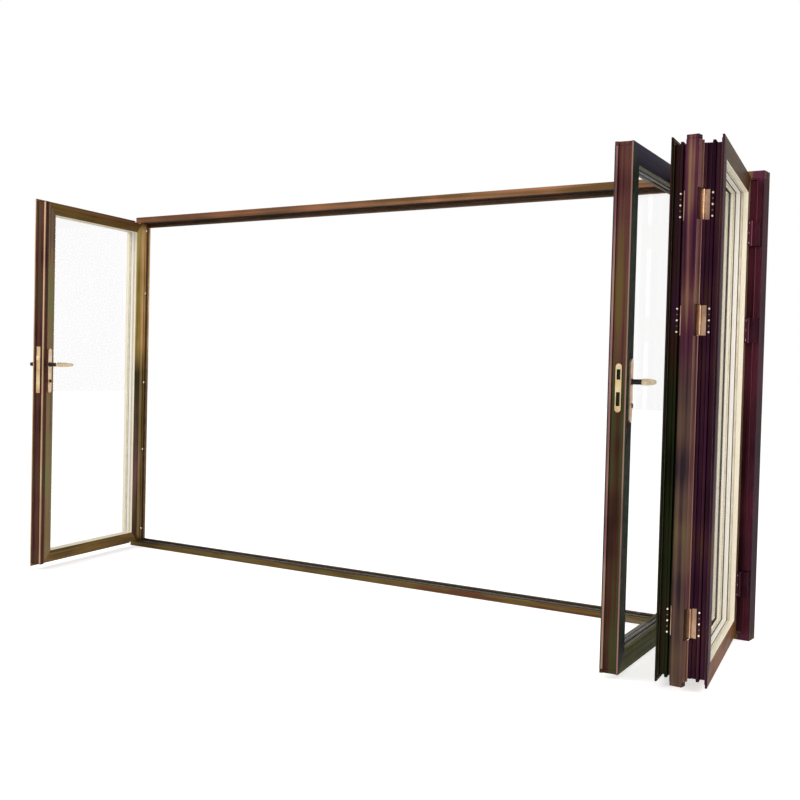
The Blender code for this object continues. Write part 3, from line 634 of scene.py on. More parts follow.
class Pattern:
    """A Geometry Nodes tree with named sizes, which a carrier mesh is run through once."""

    title = "pattern"
    sizes: tuple[str, ...] = ()

    def __init__(self, material: bpy.types.Material) -> None:
        """Build the tree.

        Args:
            material: Finish that the tree sets on what it makes.
        """
        self.tree = bpy.data.node_groups.new(f"{self.title}_{material.name}", "GeometryNodeTree")
        interface = self.tree.interface
        interface.new_socket("Carrier", in_out="INPUT", socket_type="NodeSocketGeometry")
        interface.new_socket("Made", in_out="OUTPUT", socket_type="NodeSocketGeometry")
        self.sockets = {name: interface.new_socket(name, in_out="INPUT", socket_type="NodeSocketFloat").identifier
                        for name in self.sizes}
        shape = self.lay(self.tree, add_node(self.tree, "NodeGroupInput").outputs)
        solid = add_node(self.tree, "GeometryNodeRealizeInstances", {"Geometry": shape}).outputs[0]
        painted = add_node(self.tree, "GeometryNodeSetMaterial", {"Geometry": solid, "Material": material})
        add_node(self.tree, "NodeGroupOutput", {"Made": painted.outputs[0]})

    def lay(self, tree: bpy.types.NodeTree, given: bpy.types.NodeOutputs) -> bpy.types.NodeSocket:
        """Lay the nodes between the tree's inputs and its Realize Instances.

        Args:
            tree: The tree.
            given: Its inputs, by name.

        Returns:
            The shape's socket.
        """
        raise NotImplementedError

    def run(self, name: str, carrier: bpy.types.Mesh, matrix: Matrix, **values: float) -> bpy.types.Mesh:
        """Run a carrier through the tree and keep the plain mesh.

        Args:
            name: Name of the mesh.
            carrier: Points or paths that the pattern follows.
            matrix: Place that is baked into the result.
            values: The tree's sizes, with underscores for blanks in their names.

        Returns:
            The mesh, with its place in it.
        """
        holder = bpy.data.objects.new(name, carrier)
        bpy.context.scene.collection.objects.link(holder)
        modifier = holder.modifiers.new(self.title, "NODES")
        modifier.node_group = self.tree
        for label, value in values.items():
            modifier[self.sockets[label.replace("_", " ").title()]] = value
        graph = bpy.context.evaluated_depsgraph_get()
        mesh = bpy.data.meshes.new_from_object(holder.evaluated_get(graph))
        holder.modifiers.remove(modifier)
        bpy.data.objects.remove(holder)
        mesh.name = name
        return place_mesh(mesh, matrix)


@dataclass(frozen=True)
class StripSize:
    """Section of a rubber strip, with the bend of its path's corners and the rounding of its own edges."""

    strip_width: float
    strip_depth: float
    corner_radius: float
    lip_radius: float
    soft_bend: ClassVar[float] = 0.8
    soft_lip: ClassVar[float] = 0.3

    @classmethod
    def soft(cls, width: float, depth: float) -> StripSize:
        """A section as round as a gasket's."""
        return cls(width, depth, width * cls.soft_bend, min(width, depth) * cls.soft_lip)


class RubberStrip(Pattern):
    """A strip of rounded section that follows a path in the carrier's XY plane, with round corners."""

    title = "rubber_strip"
    sizes = ("Strip Width", "Strip Depth", "Corner Radius", "Lip Radius")
    corner_steps = 5
    lip_steps = 3

    def lay(self, tree: bpy.types.NodeTree, given: bpy.types.NodeOutputs) -> bpy.types.NodeSocket:
        """Path, rounded corners, rounded section.

        Args:
            tree: The tree.
            given: Its inputs, by name.

        Returns:
            The shape's socket.
        """
        path = add_node(tree, "GeometryNodeMeshToCurve", {"Mesh": given["Carrier"]}).outputs[0]
        inputs = {"Curve": path, "Count": self.corner_steps, "Radius": given["Corner Radius"]}
        bent = add_node(tree, "GeometryNodeFilletCurve", inputs, mode="POLY").outputs[0]
        level = add_node(tree, "GeometryNodeSetCurveNormal", {"Curve": bent}, mode="Z_UP").outputs[0]
        section = add_node(tree, "GeometryNodeCurvePrimitiveQuadrilateral",
                           {"Width": given["Strip Width"], "Height": given["Strip Depth"]}).outputs[0]
        inputs = {"Curve": section, "Count": self.lip_steps, "Radius": given["Lip Radius"]}
        soft = add_node(tree, "GeometryNodeFilletCurve", inputs, mode="POLY").outputs[0]
        strip = add_node(tree, "GeometryNodeCurveToMesh",
                         {"Curve": level, "Profile Curve": soft, "Fill Caps": True}).outputs[0]
        return add_node(tree, "GeometryNodeSetShadeSmooth", {"Geometry": strip, "Shade Smooth": True}).outputs[0]


class PileRow(Pattern):
    """Tufts of bristles along a path, each leaning a little by a fixed seed."""

    title = "pile_row"
    sizes = ("Tuft Spacing", "Tuft Height", "Tuft Radius", "Lean")
    tuft_sides = 5
    seeds = (11, 23)

    def lay(self, tree: bpy.types.NodeTree, given: bpy.types.NodeOutputs) -> bpy.types.NodeSocket:
        """Points along the path, a leaning tuft on each.

        Args:
            tree: The tree.
            given: Its inputs, by name.

        Returns:
            The shape's socket.
        """
        path = add_node(tree, "GeometryNodeMeshToCurve", {"Mesh": given["Carrier"]}).outputs[0]
        points = add_node(tree, "GeometryNodeCurveToPoints",
                          {"Curve": path, "Length": given["Tuft Spacing"]}, mode="LENGTH").outputs["Points"]
        inputs = {"Vertices": self.tuft_sides, "Radius Bottom": given["Tuft Radius"], "Depth": given["Tuft Height"]}
        tuft = add_node(tree, "GeometryNodeMeshCone", inputs)
        back = add_node(tree, "ShaderNodeMath", {0: given["Lean"], 1: -1.0}, operation="MULTIPLY").outputs[0]
        tilts = [add_node(tree, "FunctionNodeRandomValue", {2: back, 3: given["Lean"], "Seed": seed}).outputs[1]
                 for seed in self.seeds]
        tilt = add_node(tree, "ShaderNodeCombineXYZ", {0: tilts[0], 1: tilts[1]}).outputs[0]
        turn = add_node(tree, "FunctionNodeEulerToRotation", {"Euler": tilt}).outputs[0]
        inputs = {"Points": points, "Instance": tuft.outputs["Mesh"], "Rotation": turn}
        return add_node(tree, "GeometryNodeInstanceOnPoints", inputs).outputs[0]


@dataclass(frozen=True)
class StudSize:
    """Sizes of a stud: its rim, its face, its height, and the recess in the face."""

    radius: float
    face_radius: float
    height: float
    recess_share: float
    recess_depth: float


class StudField(Pattern):
    """A turned stud on each point of the carrier, facing along the point's own direction.

    The stud is a disc with a chamfered rim, and its face has a round recess.
    """

    title = "stud_field"
    sizes = ("Radius", "Face Radius", "Height", "Recess Share", "Recess Depth")
    sides = 20

    def lay(self, tree: bpy.types.NodeTree, given: bpy.types.NodeOutputs) -> bpy.types.NodeSocket:
        """One stud, its recess pressed in, then a copy on each point.

        Args:
            tree: The tree.
            given: Its inputs, by name.

        Returns:
            The shape's socket.
        """
        stud = add_node(tree, "GeometryNodeMeshCone",
                        {"Vertices": self.sides, "Radius Top": given["Face Radius"], "Radius Bottom": given["Radius"],
                         "Depth": given["Height"]})
        inset = add_node(tree, "GeometryNodeExtrudeMesh",
                         {"Mesh": stud.outputs["Mesh"], "Selection": stud.outputs["Top"], "Offset Scale": 0.0})
        mouth = add_node(tree, "GeometryNodeScaleElements",
                         {"Geometry": inset.outputs["Mesh"], "Selection": inset.outputs["Top"],
                          "Scale": given["Recess Share"]}).outputs[0]
        down = add_node(tree, "ShaderNodeMath", {0: given["Recess Depth"], 1: -1.0}, operation="MULTIPLY").outputs[0]
        pressed = add_node(tree, "GeometryNodeExtrudeMesh",
                           {"Mesh": mouth, "Selection": inset.outputs["Top"], "Offset Scale": down}).outputs["Mesh"]
        facing = add_node(tree, "GeometryNodeInputNamedAttribute", {"Name": "facing"}, data_type="FLOAT_VECTOR")
        turn = add_node(tree, "FunctionNodeAlignRotationToVector", {"Vector": facing.outputs[0]}, axis="Z").outputs[0]
        inputs = {"Points": given["Carrier"], "Instance": pressed, "Rotation": turn}
        return add_node(tree, "GeometryNodeInstanceOnPoints", inputs).outputs[0]

    def stand(self, name: str, studs: Iterable[tuple[Vector, Vector]], size: StudSize) -> bpy.types.Mesh:
        """Stand a stud of one size on each place, facing its direction."""
        return self.run(name, point_mesh(studs), Matrix.Identity(4), **asdict(size))


def path_mesh(points: Sequence[Sequence[float]], closed: bool) -> bpy.types.Mesh:
    """A carrier of one path in the XY plane.

    Args:
        points: The corners.
        closed: Whether the last corner joins the first.

    Returns:
        The mesh of edges.
    """
    mesh = bpy.data.meshes.new("path")
    edges = [(index, index + 1) for index in range(len(points) - 1)]
    if closed:
        edges.append((len(points) - 1, 0))
    mesh.from_pydata([(point[0], point[1], 0.0) for point in points], edges, [])
    return mesh


def point_mesh(studs: Iterable[tuple[Vector, Vector]]) -> bpy.types.Mesh:
    """A carrier of points, each with the direction that its stud faces.

    Args:
        studs: Place and direction of each stud.

    Returns:
        The mesh of points.
    """
    pairs = list(studs)
    mesh = bpy.data.meshes.new("points")
    mesh.from_pydata([tuple(place) for place, _ in pairs], [], [])
    facing = mesh.attributes.new("facing", "FLOAT_VECTOR", "POINT")
    for index, (_, direction) in enumerate(pairs):
        facing.data[index].vector = direction
    return mesh


def rectangle(left: float, low: float, right: float, high: float) -> list[tuple[float, float]]:
    """Corners of an upright rectangle, anticlockwise."""
    return [(left, low), (right, low), (right, high), (left, high)]


@dataclass(frozen=True)
class LeafPlace:
    """Where an open leaf stands: its outer corner at the hung edge, and its two directions in plan."""

    corner: Vector
    along: Vector
    depth: Vector
    heading: float

    @property
    def matrix(self) -> Matrix:
        """Turns a point of the leaf's upright plane to the frame's own coordinates."""
        return Matrix(((self.along.x, 0.0, self.depth.x, self.corner.x),
                       (self.along.y, 0.0, self.depth.y, self.corner.y),
                       (0.0, 1.0, 0.0, 0.0),
                       (0.0, 0.0, 0.0, 1.0)))

    def at(self, along: float, height: float, depth: float) -> Vector:
        """A point of the leaf in the frame's coordinates."""
        return self.matrix @ Vector((along, height, depth))

    @property
    def outward(self) -> Vector:
        """Direction that the outer face looks."""
        return Vector((-self.depth.x, -self.depth.y, 0.0))

    @property
    def inward(self) -> Vector:
        """Direction that the inner face looks."""
        return Vector((self.depth.x, self.depth.y, 0.0))

    @property
    def end(self) -> Vector:
        """Direction from the hung edge to the other one."""
        return Vector((self.along.x, self.along.y, 0.0))


@dataclass(frozen=True)
class LeafSection:
    """Sizes of a leaf's bars and of its lock: distances from the flange's tip, and depths from the outer face."""

    pane_inset: float = 0.0703
    pane_front: float = 0.0313
    pane_back: float = 0.0567
    pane_thickness: float = 0.004
    outer_sight: float = 0.080
    inner_sight: float = 0.082
    flange_thickness: float = 0.008
    flange_reach: float = 0.025
    depth: float = 0.075
    width: float = 0.9745
    bottom: float = 0.021
    top: float = 2.074
    body_inset: float = 0.016
    backset: float = 0.042
    lever_height: float = 1.154
    plate_face: float = 0.0083

    @property
    def middle_depth(self) -> float:
        """Depth of the pane's middle."""
        return (self.pane_front + self.pane_back) / 2

    @property
    def spindle(self) -> float:
        """Place of the lever's spindle along the leaf."""
        return self.width - self.backset

    def face(self, side: int) -> float:
        """Depth of the inner face, for side 1, or of the outer one, for side -1."""
        return self.depth if side > 0 else 0.0


@dataclass(frozen=True)
class BarTones:
    """Tones of one leaf's bars: lighter and darker copies of one bronze, set bar by bar as painted
    highlight and painted shade, besides a small difference of tone from bar to bar.
    """

    hung: tuple[str, ...]
    free: tuple[str, ...]
    top: tuple[str, ...]
    bottom: tuple[str, ...]
    edge: tuple[str, ...]
    hung_lower: tuple[str, ...] = ()
    free_lower: tuple[str, ...] = ()
    edge_lower: tuple[str, ...] = ()


class Finishes:
    """Every finish on the door, built once."""

    # Per leaf and bar: lighter tones are a painted highlight and darker ones painted shade, where light falls on each
    # bar.
    tones = {
        "traffic_leaf": BarTones(("#7c6434", "#9c8448", "#b09a6a"), ("#5c4a4c", "#80684c", "#74704c"),
                                  ("#5c3826", "#6a582e", "#7c4a36"), ("#56442c", "#7a6238", "#5e2e30"),
                                  ("#2a1e1c", "#50302a", "#423a28"), ("#4c2a24", "#34381c", "#6a4a48")),
        "leaf_2": BarTones(("#2a1a20", "#3a2c1c", "#4a3a2a"), ("#28301e", "#2c4431", "#3b2c36"),
                            ("#22103c", "#321a4a", "#3f2c22"), ("#484a20", "#66662f", "#7a7640"),
                            ("#35181e", "#5a3834", "#604e2e"),
                            edge_lower=("#241814", "#40291f", "#3c4226")),
        "leaf_3": BarTones(("#1c120c", "#2e1d13", "#341a2e"), ("#1c120c", "#2e1d13", "#341a2e"),
                            ("#241614", "#34281a", "#2b1a2c"), ("#241614", "#34281a", "#2b1a2c"),
                            ("#1c120c", "#2e1d13", "#341a2e"), ("#12140a", "#1e2412", "#2a2018"),
                            ("#12140a", "#1e2412", "#2a2018")),
        "leaf_4": BarTones(("#6c543a", "#8f7458", "#9c8470"), ("#22101a", "#381b2b", "#4a2f20"),
                            ("#50381c", "#5e4822", "#683826"), ("#7a4a2a", "#9a643a", "#6c5a34"),
                            ("#22101a", "#381b2b", "#4a2f20")),
    }

    def __init__(self) -> None:
        """Build the finishes."""
        self.rubber = ExtrudedRubber().build()
        # Ivory gaskets: near white as painted light, standing for lit reveals.
        self.gasket = ExtrudedRubber("tpe_gasket_pale_painted_highlight", "#cfc5aa", "#e4dcc6").build()
        self.upright_seal = ExtrudedRubber("epdm_bulb_seal_extruded_tan", "#6a5644", "#8a725a").build()
        self.seal = ExtrudedRubber("epdm_bulb_seal_extruded_brown", "#2e2417", "#463823").build()
        self.pile = WovenPile().build()
        self.glass = FloatGlass().build()
        # Near white spacer: painted light, standing for the bright reveal between the panes.
        self.spacer = MouldedNylon("spacer_pale_painted_highlight", "#eceae2", "#f6f4ee").build()
        self.hinge = BrushedMetal("brass_brushed_champagne", "#8d6c5a", "#b99a7e").build()
        self.strike = BrushedMetal("brass_stamped_lacquered", "#c09c70", "#e0cca4").build()
        self.plate = BrushedMetal("zinc_plate_satin_champagne", "#c4a082", "#e0cab0").build()
        # Cream linings: a painted highlight that makes the reveals read as lit.
        self.lining = MouldedNylon("lining_cream_painted_highlight", "#ece4cc", "#f6f0de", grain=0.003).build()
        self.grip = PolishedCasting("zinc_casting_polished_champagne", "#b49a7c", "#d8c8a6", rough=0.34).build()
        self.neck = MouldedNylon("nylon_moulded_black", "#0b0a07", "#191610").build()
        self.plug = PolishedCasting("brass_turned_blackened", "#2a1c12", "#3d2a1a", wave=0.004).build()
        self.screw = PolishedCasting("stainless_steel_turned", "#d8d0c0", "#efe9dc", wave=0.003).build()
        self.dull_screw = PolishedCasting("steel_turned_blackened", "#5b5142", "#7c6f5a", wave=0.003).build()
        self.zinc = PolishedCasting("steel_zinc_plated", "#8d9194", "#aeb2b3", wave=0.006, rough=0.36).build()
        # The frame's bars and the post: lighter and darker copies of one bronze as painted light, the left jamb light
        # with a painted highlight on its upper part, the right jamb dark as painted shade.
        self.left_jamb = self.bar("jamb_left", Run.UPRIGHT, ("#8c7044", "#b4905c", "#c8a478"),
                                  lower=("#5e4a2c", "#746038", "#8a6656"))
        self.right_jamb = self.bar("jamb_right", Run.UPRIGHT, ("#301720", "#482634", "#5a2c3c"))
        self.head = self.bar("head", Run.LEVEL, ("#4e3a24", "#6a4c38", "#83583f"))
        self.sill = self.bar("sill", Run.LEVEL, ("#4c3c26", "#665630", "#5c3c2a"))
        self.post = self.bar("post", Run.UPRIGHT, ("#2c1428", "#4c2832", "#6c5240"),
                             lower=("#2a2028", "#503c34", "#5c5038"))
        # The post's side covers: a pink tan copy of the bronze, a painted highlight on the post's lit sides; also the
        # light strips on leaf_2's meeting edge.
        self.post_side_highlight = self.bar("post_side_highlight", Run.UPRIGHT, ("#6e444a", "#94706a", "#9a7e68"))
        # Light strips on the meeting edges' corners: a painted highlight of their rounded arrises.
        self.edge_highlight = self.bar("edge_highlight", Run.UPRIGHT, ("#9a7c60", "#b89878", "#c4a890"))

    def bar(self, name: str, run: Run, tones: tuple[str, ...], heading: float = 0.0,
            lower: tuple[str, ...] = ()) -> bpy.types.Material:
        """Anodised finish of one bar, or of several with the same tones, which are set lighter or darker as painted
        light.
        """
        return AnodisedBar(f"aluminium_anodised_{name}", run, heading, tones, lower=lower).build()

    def leaf_bar(self, leaf: str, part: str, heading: float) -> bpy.types.Material:
        """Anodised finish of one of a leaf's bars.

        Args:
            leaf: The leaf's name.
            part: Field of its tones.
            heading: Angle in plan that the leaf's level bars run at.

        Returns:
            The finish.
        """
        run = Run.LEVEL if part in ("top", "bottom") else Run.UPRIGHT
        tones = self.tones[leaf]
        lower = getattr(tones, f"{part}_lower", ())
        return self.bar(f"{leaf}_{part}", run, getattr(tones, part), heading, lower)


@dataclass(frozen=True)
class Rebate:
    """Finishes of what lines a leaf's reveals, pale on most leaves as painted light of lit reveals, and of the light
    strips on its meeting edge, a painted highlight of its corners.
    """

    gasket: bpy.types.Material
    spacer: bpy.types.Material
    lining: bpy.types.Material
    # line: light strips on the meeting edge, a painted highlight of its corners.
    line: bpy.types.Material


@dataclass
class Workshop:
    """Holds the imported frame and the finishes, and hands each piece over to the body that carries it."""

    nodes: dict[str, bpy.types.Object]
    finishes: Finishes

    def deliver(self, name: str, mesh: bpy.types.Mesh, body: str, slot: str, replaced: Sequence[str] = ()) -> None:
        """Make a mesh a piece of the door.

        Args:
            name: The piece's name.
            mesh: Its mesh, with its place in it.
            body: The body that it rides on.
            slot: Not used.
            replaced: Nodes that it stands for.
        """
        piece = bpy.data.objects.new(name, mesh)
        bpy.context.scene.collection.objects.link(piece)
        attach(piece, body)
        if replaced:
            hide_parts(*replaced)
        LOG.info("made %s, %d faces, on %s", name, len(mesh.polygons), body)

    def dress(self, names: Iterable[str], material: bpy.types.Material) -> None:
        """Give nodes whose shapes stay the finish of the real metal.

        Args:
            names: The nodes.
            material: Their finish.
        """
        for name in names:
            data = self.nodes[name].data
            data.materials.clear()
            data.materials.append(material)
            LOG.info("dressed %s in %s", name, material.name)

    def read_place(self, leaf: str, hand: Hand, section: LeafSection) -> LeafPlace:
        """Read where a leaf stands from its pane and its hinge stile.

        Args:
            leaf: The leaf's name.
            hand: The side that it hangs on.
            section: Sizes of its bars.

        Returns:
            The leaf's place.
        """
        vertices = self.nodes[f"{leaf}_glass"].data.vertices
        corners = [Vector(pair) for pair in {(round(v.co.x, 5), round(v.co.y, 5)) for v in vertices}]
        low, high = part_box(f"{leaf}_hinge_stile")
        stile = ((low + high) / 2).to_2d()
        corners.sort(key=lambda point: (point - stile).length)
        hung = corners[:2]
        free = corners[2:]
        along = ((free[0] + free[1]) - (hung[0] + hung[1])).normalized()
        depth = Vector((-along.y, along.x)) * hand.value
        front = min(hung, key=lambda point: point.dot(depth))
        corner = front - along * section.pane_inset - depth * section.pane_front
        return LeafPlace(corner, along, depth, math.atan2(along.y, along.x))


@dataclass(frozen=True)
class EdgeStrip:
    """A strip on the meeting edge: depths of its sides, its height and arris, and its stop short of the ends."""

    front: float
    back: float
    proud: float
    arris: float
    stop: float


@dataclass
class Leaf:
    """One leaf: its glazed unit, gaskets, beads, linings and seals. Depths count from the outer face."""

    name: str
    hand: Hand
    body: str
    shop: Workshop
    meets: bool
    cream: bool = True
    cap: float = 0.0020
    section: LeafSection = LeafSection()
    pane_arris: float = 0.0005
    spacer_inset: float = 0.0056
    spacer_width: float = 0.0108
    spacer_corner: float = 0.006
    outer_gasket: StripSize = StripSize.soft(0.0046, 0.0098)
    outer_gasket_step: float = 0.0028
    inner_gasket: StripSize = StripSize.soft(0.0044, 0.0062)
    inner_gasket_step: float = 0.0012
    inner_gasket_depth: float = 0.0032
    bead_face: float = 0.020
    bead_rise: float = 0.0008
    bead_chamfer: tuple[float, float, float] = (0.4, 0.6, 0.2)
    bead_nose: float = 0.0016
    bead_lip: float = 0.0003
    bead_drop: float = 0.0012
    bead_seat: float = 0.0030
    lining_width: float = 0.0022
    lining_corner: float = 0.002
    strip_lip: float = 0.0008
    seal: StripSize = StripSize.soft(0.004, 0.0035)
    seal_inset: float = 0.012
    seal_stop: float = 0.002
    cap_gap: float = 0.0003
    cap_arris: float = 0.0008
    lining_spans: ClassVar[tuple[tuple[float, float], ...]] = ((0.0012, 0.0212), (0.0634, 0.0746))
    edge_steps: ClassVar[tuple[tuple[float, float, float], ...]] = ((0.0083, 0.0168, 0.0214), (0.0168, 0.0612, 0.0184),
                                                                    (0.0612, 0.0746, 0.0244))
    # Light strips on both corners of the meeting edge, a painted highlight of the rounded arrises.
    edge_beads: ClassVar[tuple[EdgeStrip, ...]] = (EdgeStrip(0.0614, 0.0698, 0.0012, 0.0004, 0.017),
                                                   EdgeStrip(0.0012, 0.0068, 0.0010, 0.0003, 0.002))
    edge_cover: ClassVar[EdgeStrip] = EdgeStrip(0.0702, 0.0740, 0.0008, 0.0002, 0.017)

    def __post_init__(self) -> None:
        """Find the leaf and pick its finishes."""
        self.place = self.shop.read_place(self.name, self.hand, self.section)
        finishes = self.shop.finishes
        self.metal = {part: finishes.leaf_bar(self.name, part, self.place.heading)
                      for part in ("hung", "free", "top", "bottom", "edge")}
        # With cream, gasket, spacer and linings are pale as painted light of lit reveals; leaf_2 takes dark rubber, a
        # black spacer and the rail's tone.
        if self.cream:
            self.rebate = Rebate(finishes.gasket, finishes.spacer, finishes.lining, finishes.edge_highlight)
        else:
            self.rebate = Rebate(finishes.seal, finishes.neck, self.metal["bottom"], finishes.post_side_highlight)

    def hand_over(self, name: str, mesh: bpy.types.Mesh) -> None:
        """Deliver a fixed part of the leaf, with its place already in its mesh."""
        self.shop.deliver(f"{self.name}_{name}", mesh, self.body, "bronze_anodised_aluminium")

    def loop(self, inset: float) -> list[tuple[float, float]]:
        """Corners of a path that runs round the leaf at a distance from its edges."""
        section = self.section
        return rectangle(inset, section.bottom + inset, section.width - inset, section.top - inset)

    def follow(self, strip: RubberStrip, name: str, path: Sequence[Sequence[float]], depth: float, size: StripSize,
               closed: bool = True) -> None:
        """Lay a strip along a path of the leaf.

        Args:
            strip: The strip.
            name: Name of the piece after the leaf's own.
            path: Its corners.
            depth: Depth of its middle.
            size: Its section.
            closed: Whether it is a ring.
        """
        place = self.place.matrix @ Matrix.Translation((0.0, 0.0, depth))
        self.hand_over(name, strip.run(name, path_mesh(path, closed), place, **asdict(size)))

    def build_panes(self) -> None:
        """The double glazed unit as one clear block, with its spacer inside the edge.

        Light passes few see-through faces in a render, and three folded leaves of two panes each turn black.
        """
        section = self.section
        edge = section.pane_inset
        body = bmesh.new()
        slab((edge, section.bottom + edge, section.pane_front),
             (section.width - edge, section.top - edge, section.pane_back), self.pane_arris, body)
        mesh = to_mesh("panes", body, self.shop.finishes.glass)
        self.shop.deliver(f"{self.name}_panes", place_mesh(mesh, self.place.matrix), self.body, "clear_glass",
                          (f"{self.name}_glass",))
        gap = section.pane_back - section.pane_front - 2 * section.pane_thickness - FIT
        # The spacer is near white on most leaves: painted light of the bright reveal.
        self.follow(RubberStrip(self.rebate.spacer), "spacer", self.loop(edge + self.spacer_inset),
                    section.middle_depth, StripSize(self.spacer_width, gap, self.spacer_corner, self.strip_lip))

    def build_gaskets(self) -> None:
        """The wedge gasket on the outer face and the slimmer one behind the beads."""
        section = self.section
        # On most leaves the gasket is ivory: painted light of the lit reveal.
        strip = RubberStrip(self.rebate.gasket)
        self.follow(strip, "outer_gasket", self.loop(section.outer_sight - self.outer_gasket_step),
                    section.pane_front - self.outer_gasket.strip_depth / 2, self.outer_gasket)
        self.follow(strip, "inner_gasket", self.loop(section.inner_sight + self.inner_gasket_step),
                    section.pane_back + self.inner_gasket_depth, self.inner_gasket)

    def bead_outline(self) -> list[tuple[float, float]]:
        """Section of a bead, from the leaf's face over its rounded nose and down to the glass.

        Returns:
            Distance from the leaf's edge and depth of each corner.
        """
        sight, back, rise = self.section.inner_sight, self.section.depth, self.bead_rise
        root, seat = sight - self.bead_face, self.section.pane_back + self.bead_seat
        up, along, down = self.bead_chamfer
        return [(root, back - FIT), (root, back + rise * up), (root + rise * along, back + rise),
                (sight - self.bead_nose, back + rise), (sight - self.bead_lip, back + rise * down),
                (sight + self.bead_lip, back - self.bead_drop), (sight + self.bead_lip, seat), (sight - FIT, seat),
                (sight - FIT, back - FIT)]

    def build_beads(self) -> None:
        """Four glazing beads that snap in from the inside, mitred at the corners."""
        section = self.section
        outline = self.bead_outline()
        middle = Vector((section.width / 2, (section.bottom + section.top) / 2))
        half = Vector((section.width / 2, (section.top - section.bottom) / 2))
        sides = []
        for turn, part in enumerate(("bottom", "free", "top", "hung")):
            level = turn % 2 == 0
            across = half.y if level else half.x
            length = half.x if level else half.y
            swing = Matrix.Rotation(math.tau * turn / 4, 2)
            rings = []
            for side in (-1, 1):
                ring = []
                for inset, depth in outline:
                    flat = swing @ Vector((side * (length - inset - FIT), inset - across)) + middle
                    ring.append(Vector((flat.x, flat.y, depth)))
                rings.append(ring)
            body = bmesh.new()
            lofted(rings, body)
            sides.append(to_mesh("bead", body, self.metal[part]))
        self.hand_over("glazing_beads", place_mesh(join_meshes("beads", sides), self.place.matrix))

    def build_linings(self) -> None:
        """The linings of the outer and the inner reveal, up to the gaskets: cream as a painted highlight of the lit
        reveal, or in the rail's tone.
        """
        strip = RubberStrip(self.rebate.lining)
        sights = (self.section.outer_sight, self.section.inner_sight + self.inner_gasket_step)
        for side, sight, (front, back) in zip(("outer", "inner"), sights, self.lining_spans):
            self.follow(strip, f"{side}_lining", self.loop(sight), (front + back) / 2,
                        StripSize(self.lining_width, back - front, self.lining_corner, self.strip_lip))

    def build_flange_seal(self) -> None:
        """The lip that the flange presses on the frame, left out where an adapter covers it."""
        section = self.section
        path = self.loop(self.seal_inset)
        if self.meets:
            short = section.width - section.flange_reach - self.seal_stop
            (left, low), (_, high) = path[0], path[2]
            path = [(short, low), (left, low), (left, high), (short, high)]
        self.follow(RubberStrip(self.shop.finishes.seal), "flange_seal", path,
                    section.flange_thickness + self.seal.strip_depth / 2, self.seal, not self.meets)

    def build_caps(self) -> None:
        """Caps in the metal's colour that close the ends of the meeting edge."""
        section = self.section
        body = bmesh.new()
        start = section.width - section.flange_reach + self.cap_gap
        for low in (section.bottom + section.body_inset - self.cap - self.cap_gap,
                    section.top - section.body_inset + self.cap_gap):
            for front, back, reach in self.edge_steps:
                slab((start, low, front), (start + reach, low + self.cap, back), self.cap_arris, body)
        self.hand_over("end_caps", place_mesh(to_mesh("caps", body, self.metal["edge"]), self.place.matrix))

    def lay_edge(self, strip: EdgeStrip, target: bmesh.types.BMesh, steps: int) -> None:
        """Lay a strip on the meeting edge.

        Args:
            strip: Its sizes.
            target: Mesh that it joins.
            steps: Faces that round its arris.
        """
        section = self.section
        slab((section.width + FIT, section.bottom + strip.stop, strip.front),
             (section.width + strip.proud, section.top - strip.stop, strip.back), strip.arris, target, steps)

    def build_edge_highlights(self) -> None:
        """Light strips on the meeting edge's corners, a painted highlight of its rounded arrises, and the cover in the
        stile's tone beside the inner one.
        """
        lines = bmesh.new()
        for strip in self.edge_beads:
            self.lay_edge(strip, lines, 2)
        cover = bmesh.new()
        self.lay_edge(self.edge_cover, cover, 1)
        mesh = join_meshes("lines", [to_mesh("lines", lines, self.rebate.line),
                                     to_mesh("cover", cover, self.metal["free"])])
        self.hand_over("edge_highlights", place_mesh(mesh, self.place.matrix))

    def build(self) -> None:
        """Dress the bars and add what the glass sits in."""
        for bar, part in (("hinge_stile", "hung"), ("lock_stile", "free"), ("bottom_rail", "bottom"),
                          ("top_rail", "top")):
            self.shop.dress((f"{self.name}_{bar}",), self.metal[part])
        self.build_panes()
        self.build_gaskets()
        self.build_beads()
        self.build_linings()
        self.build_flange_seal()
        if self.meets:
            self.shop.dress((f"{self.name}_lock_adapter",), self.metal["edge"])
            self.build_caps()
            self.build_edge_highlights()


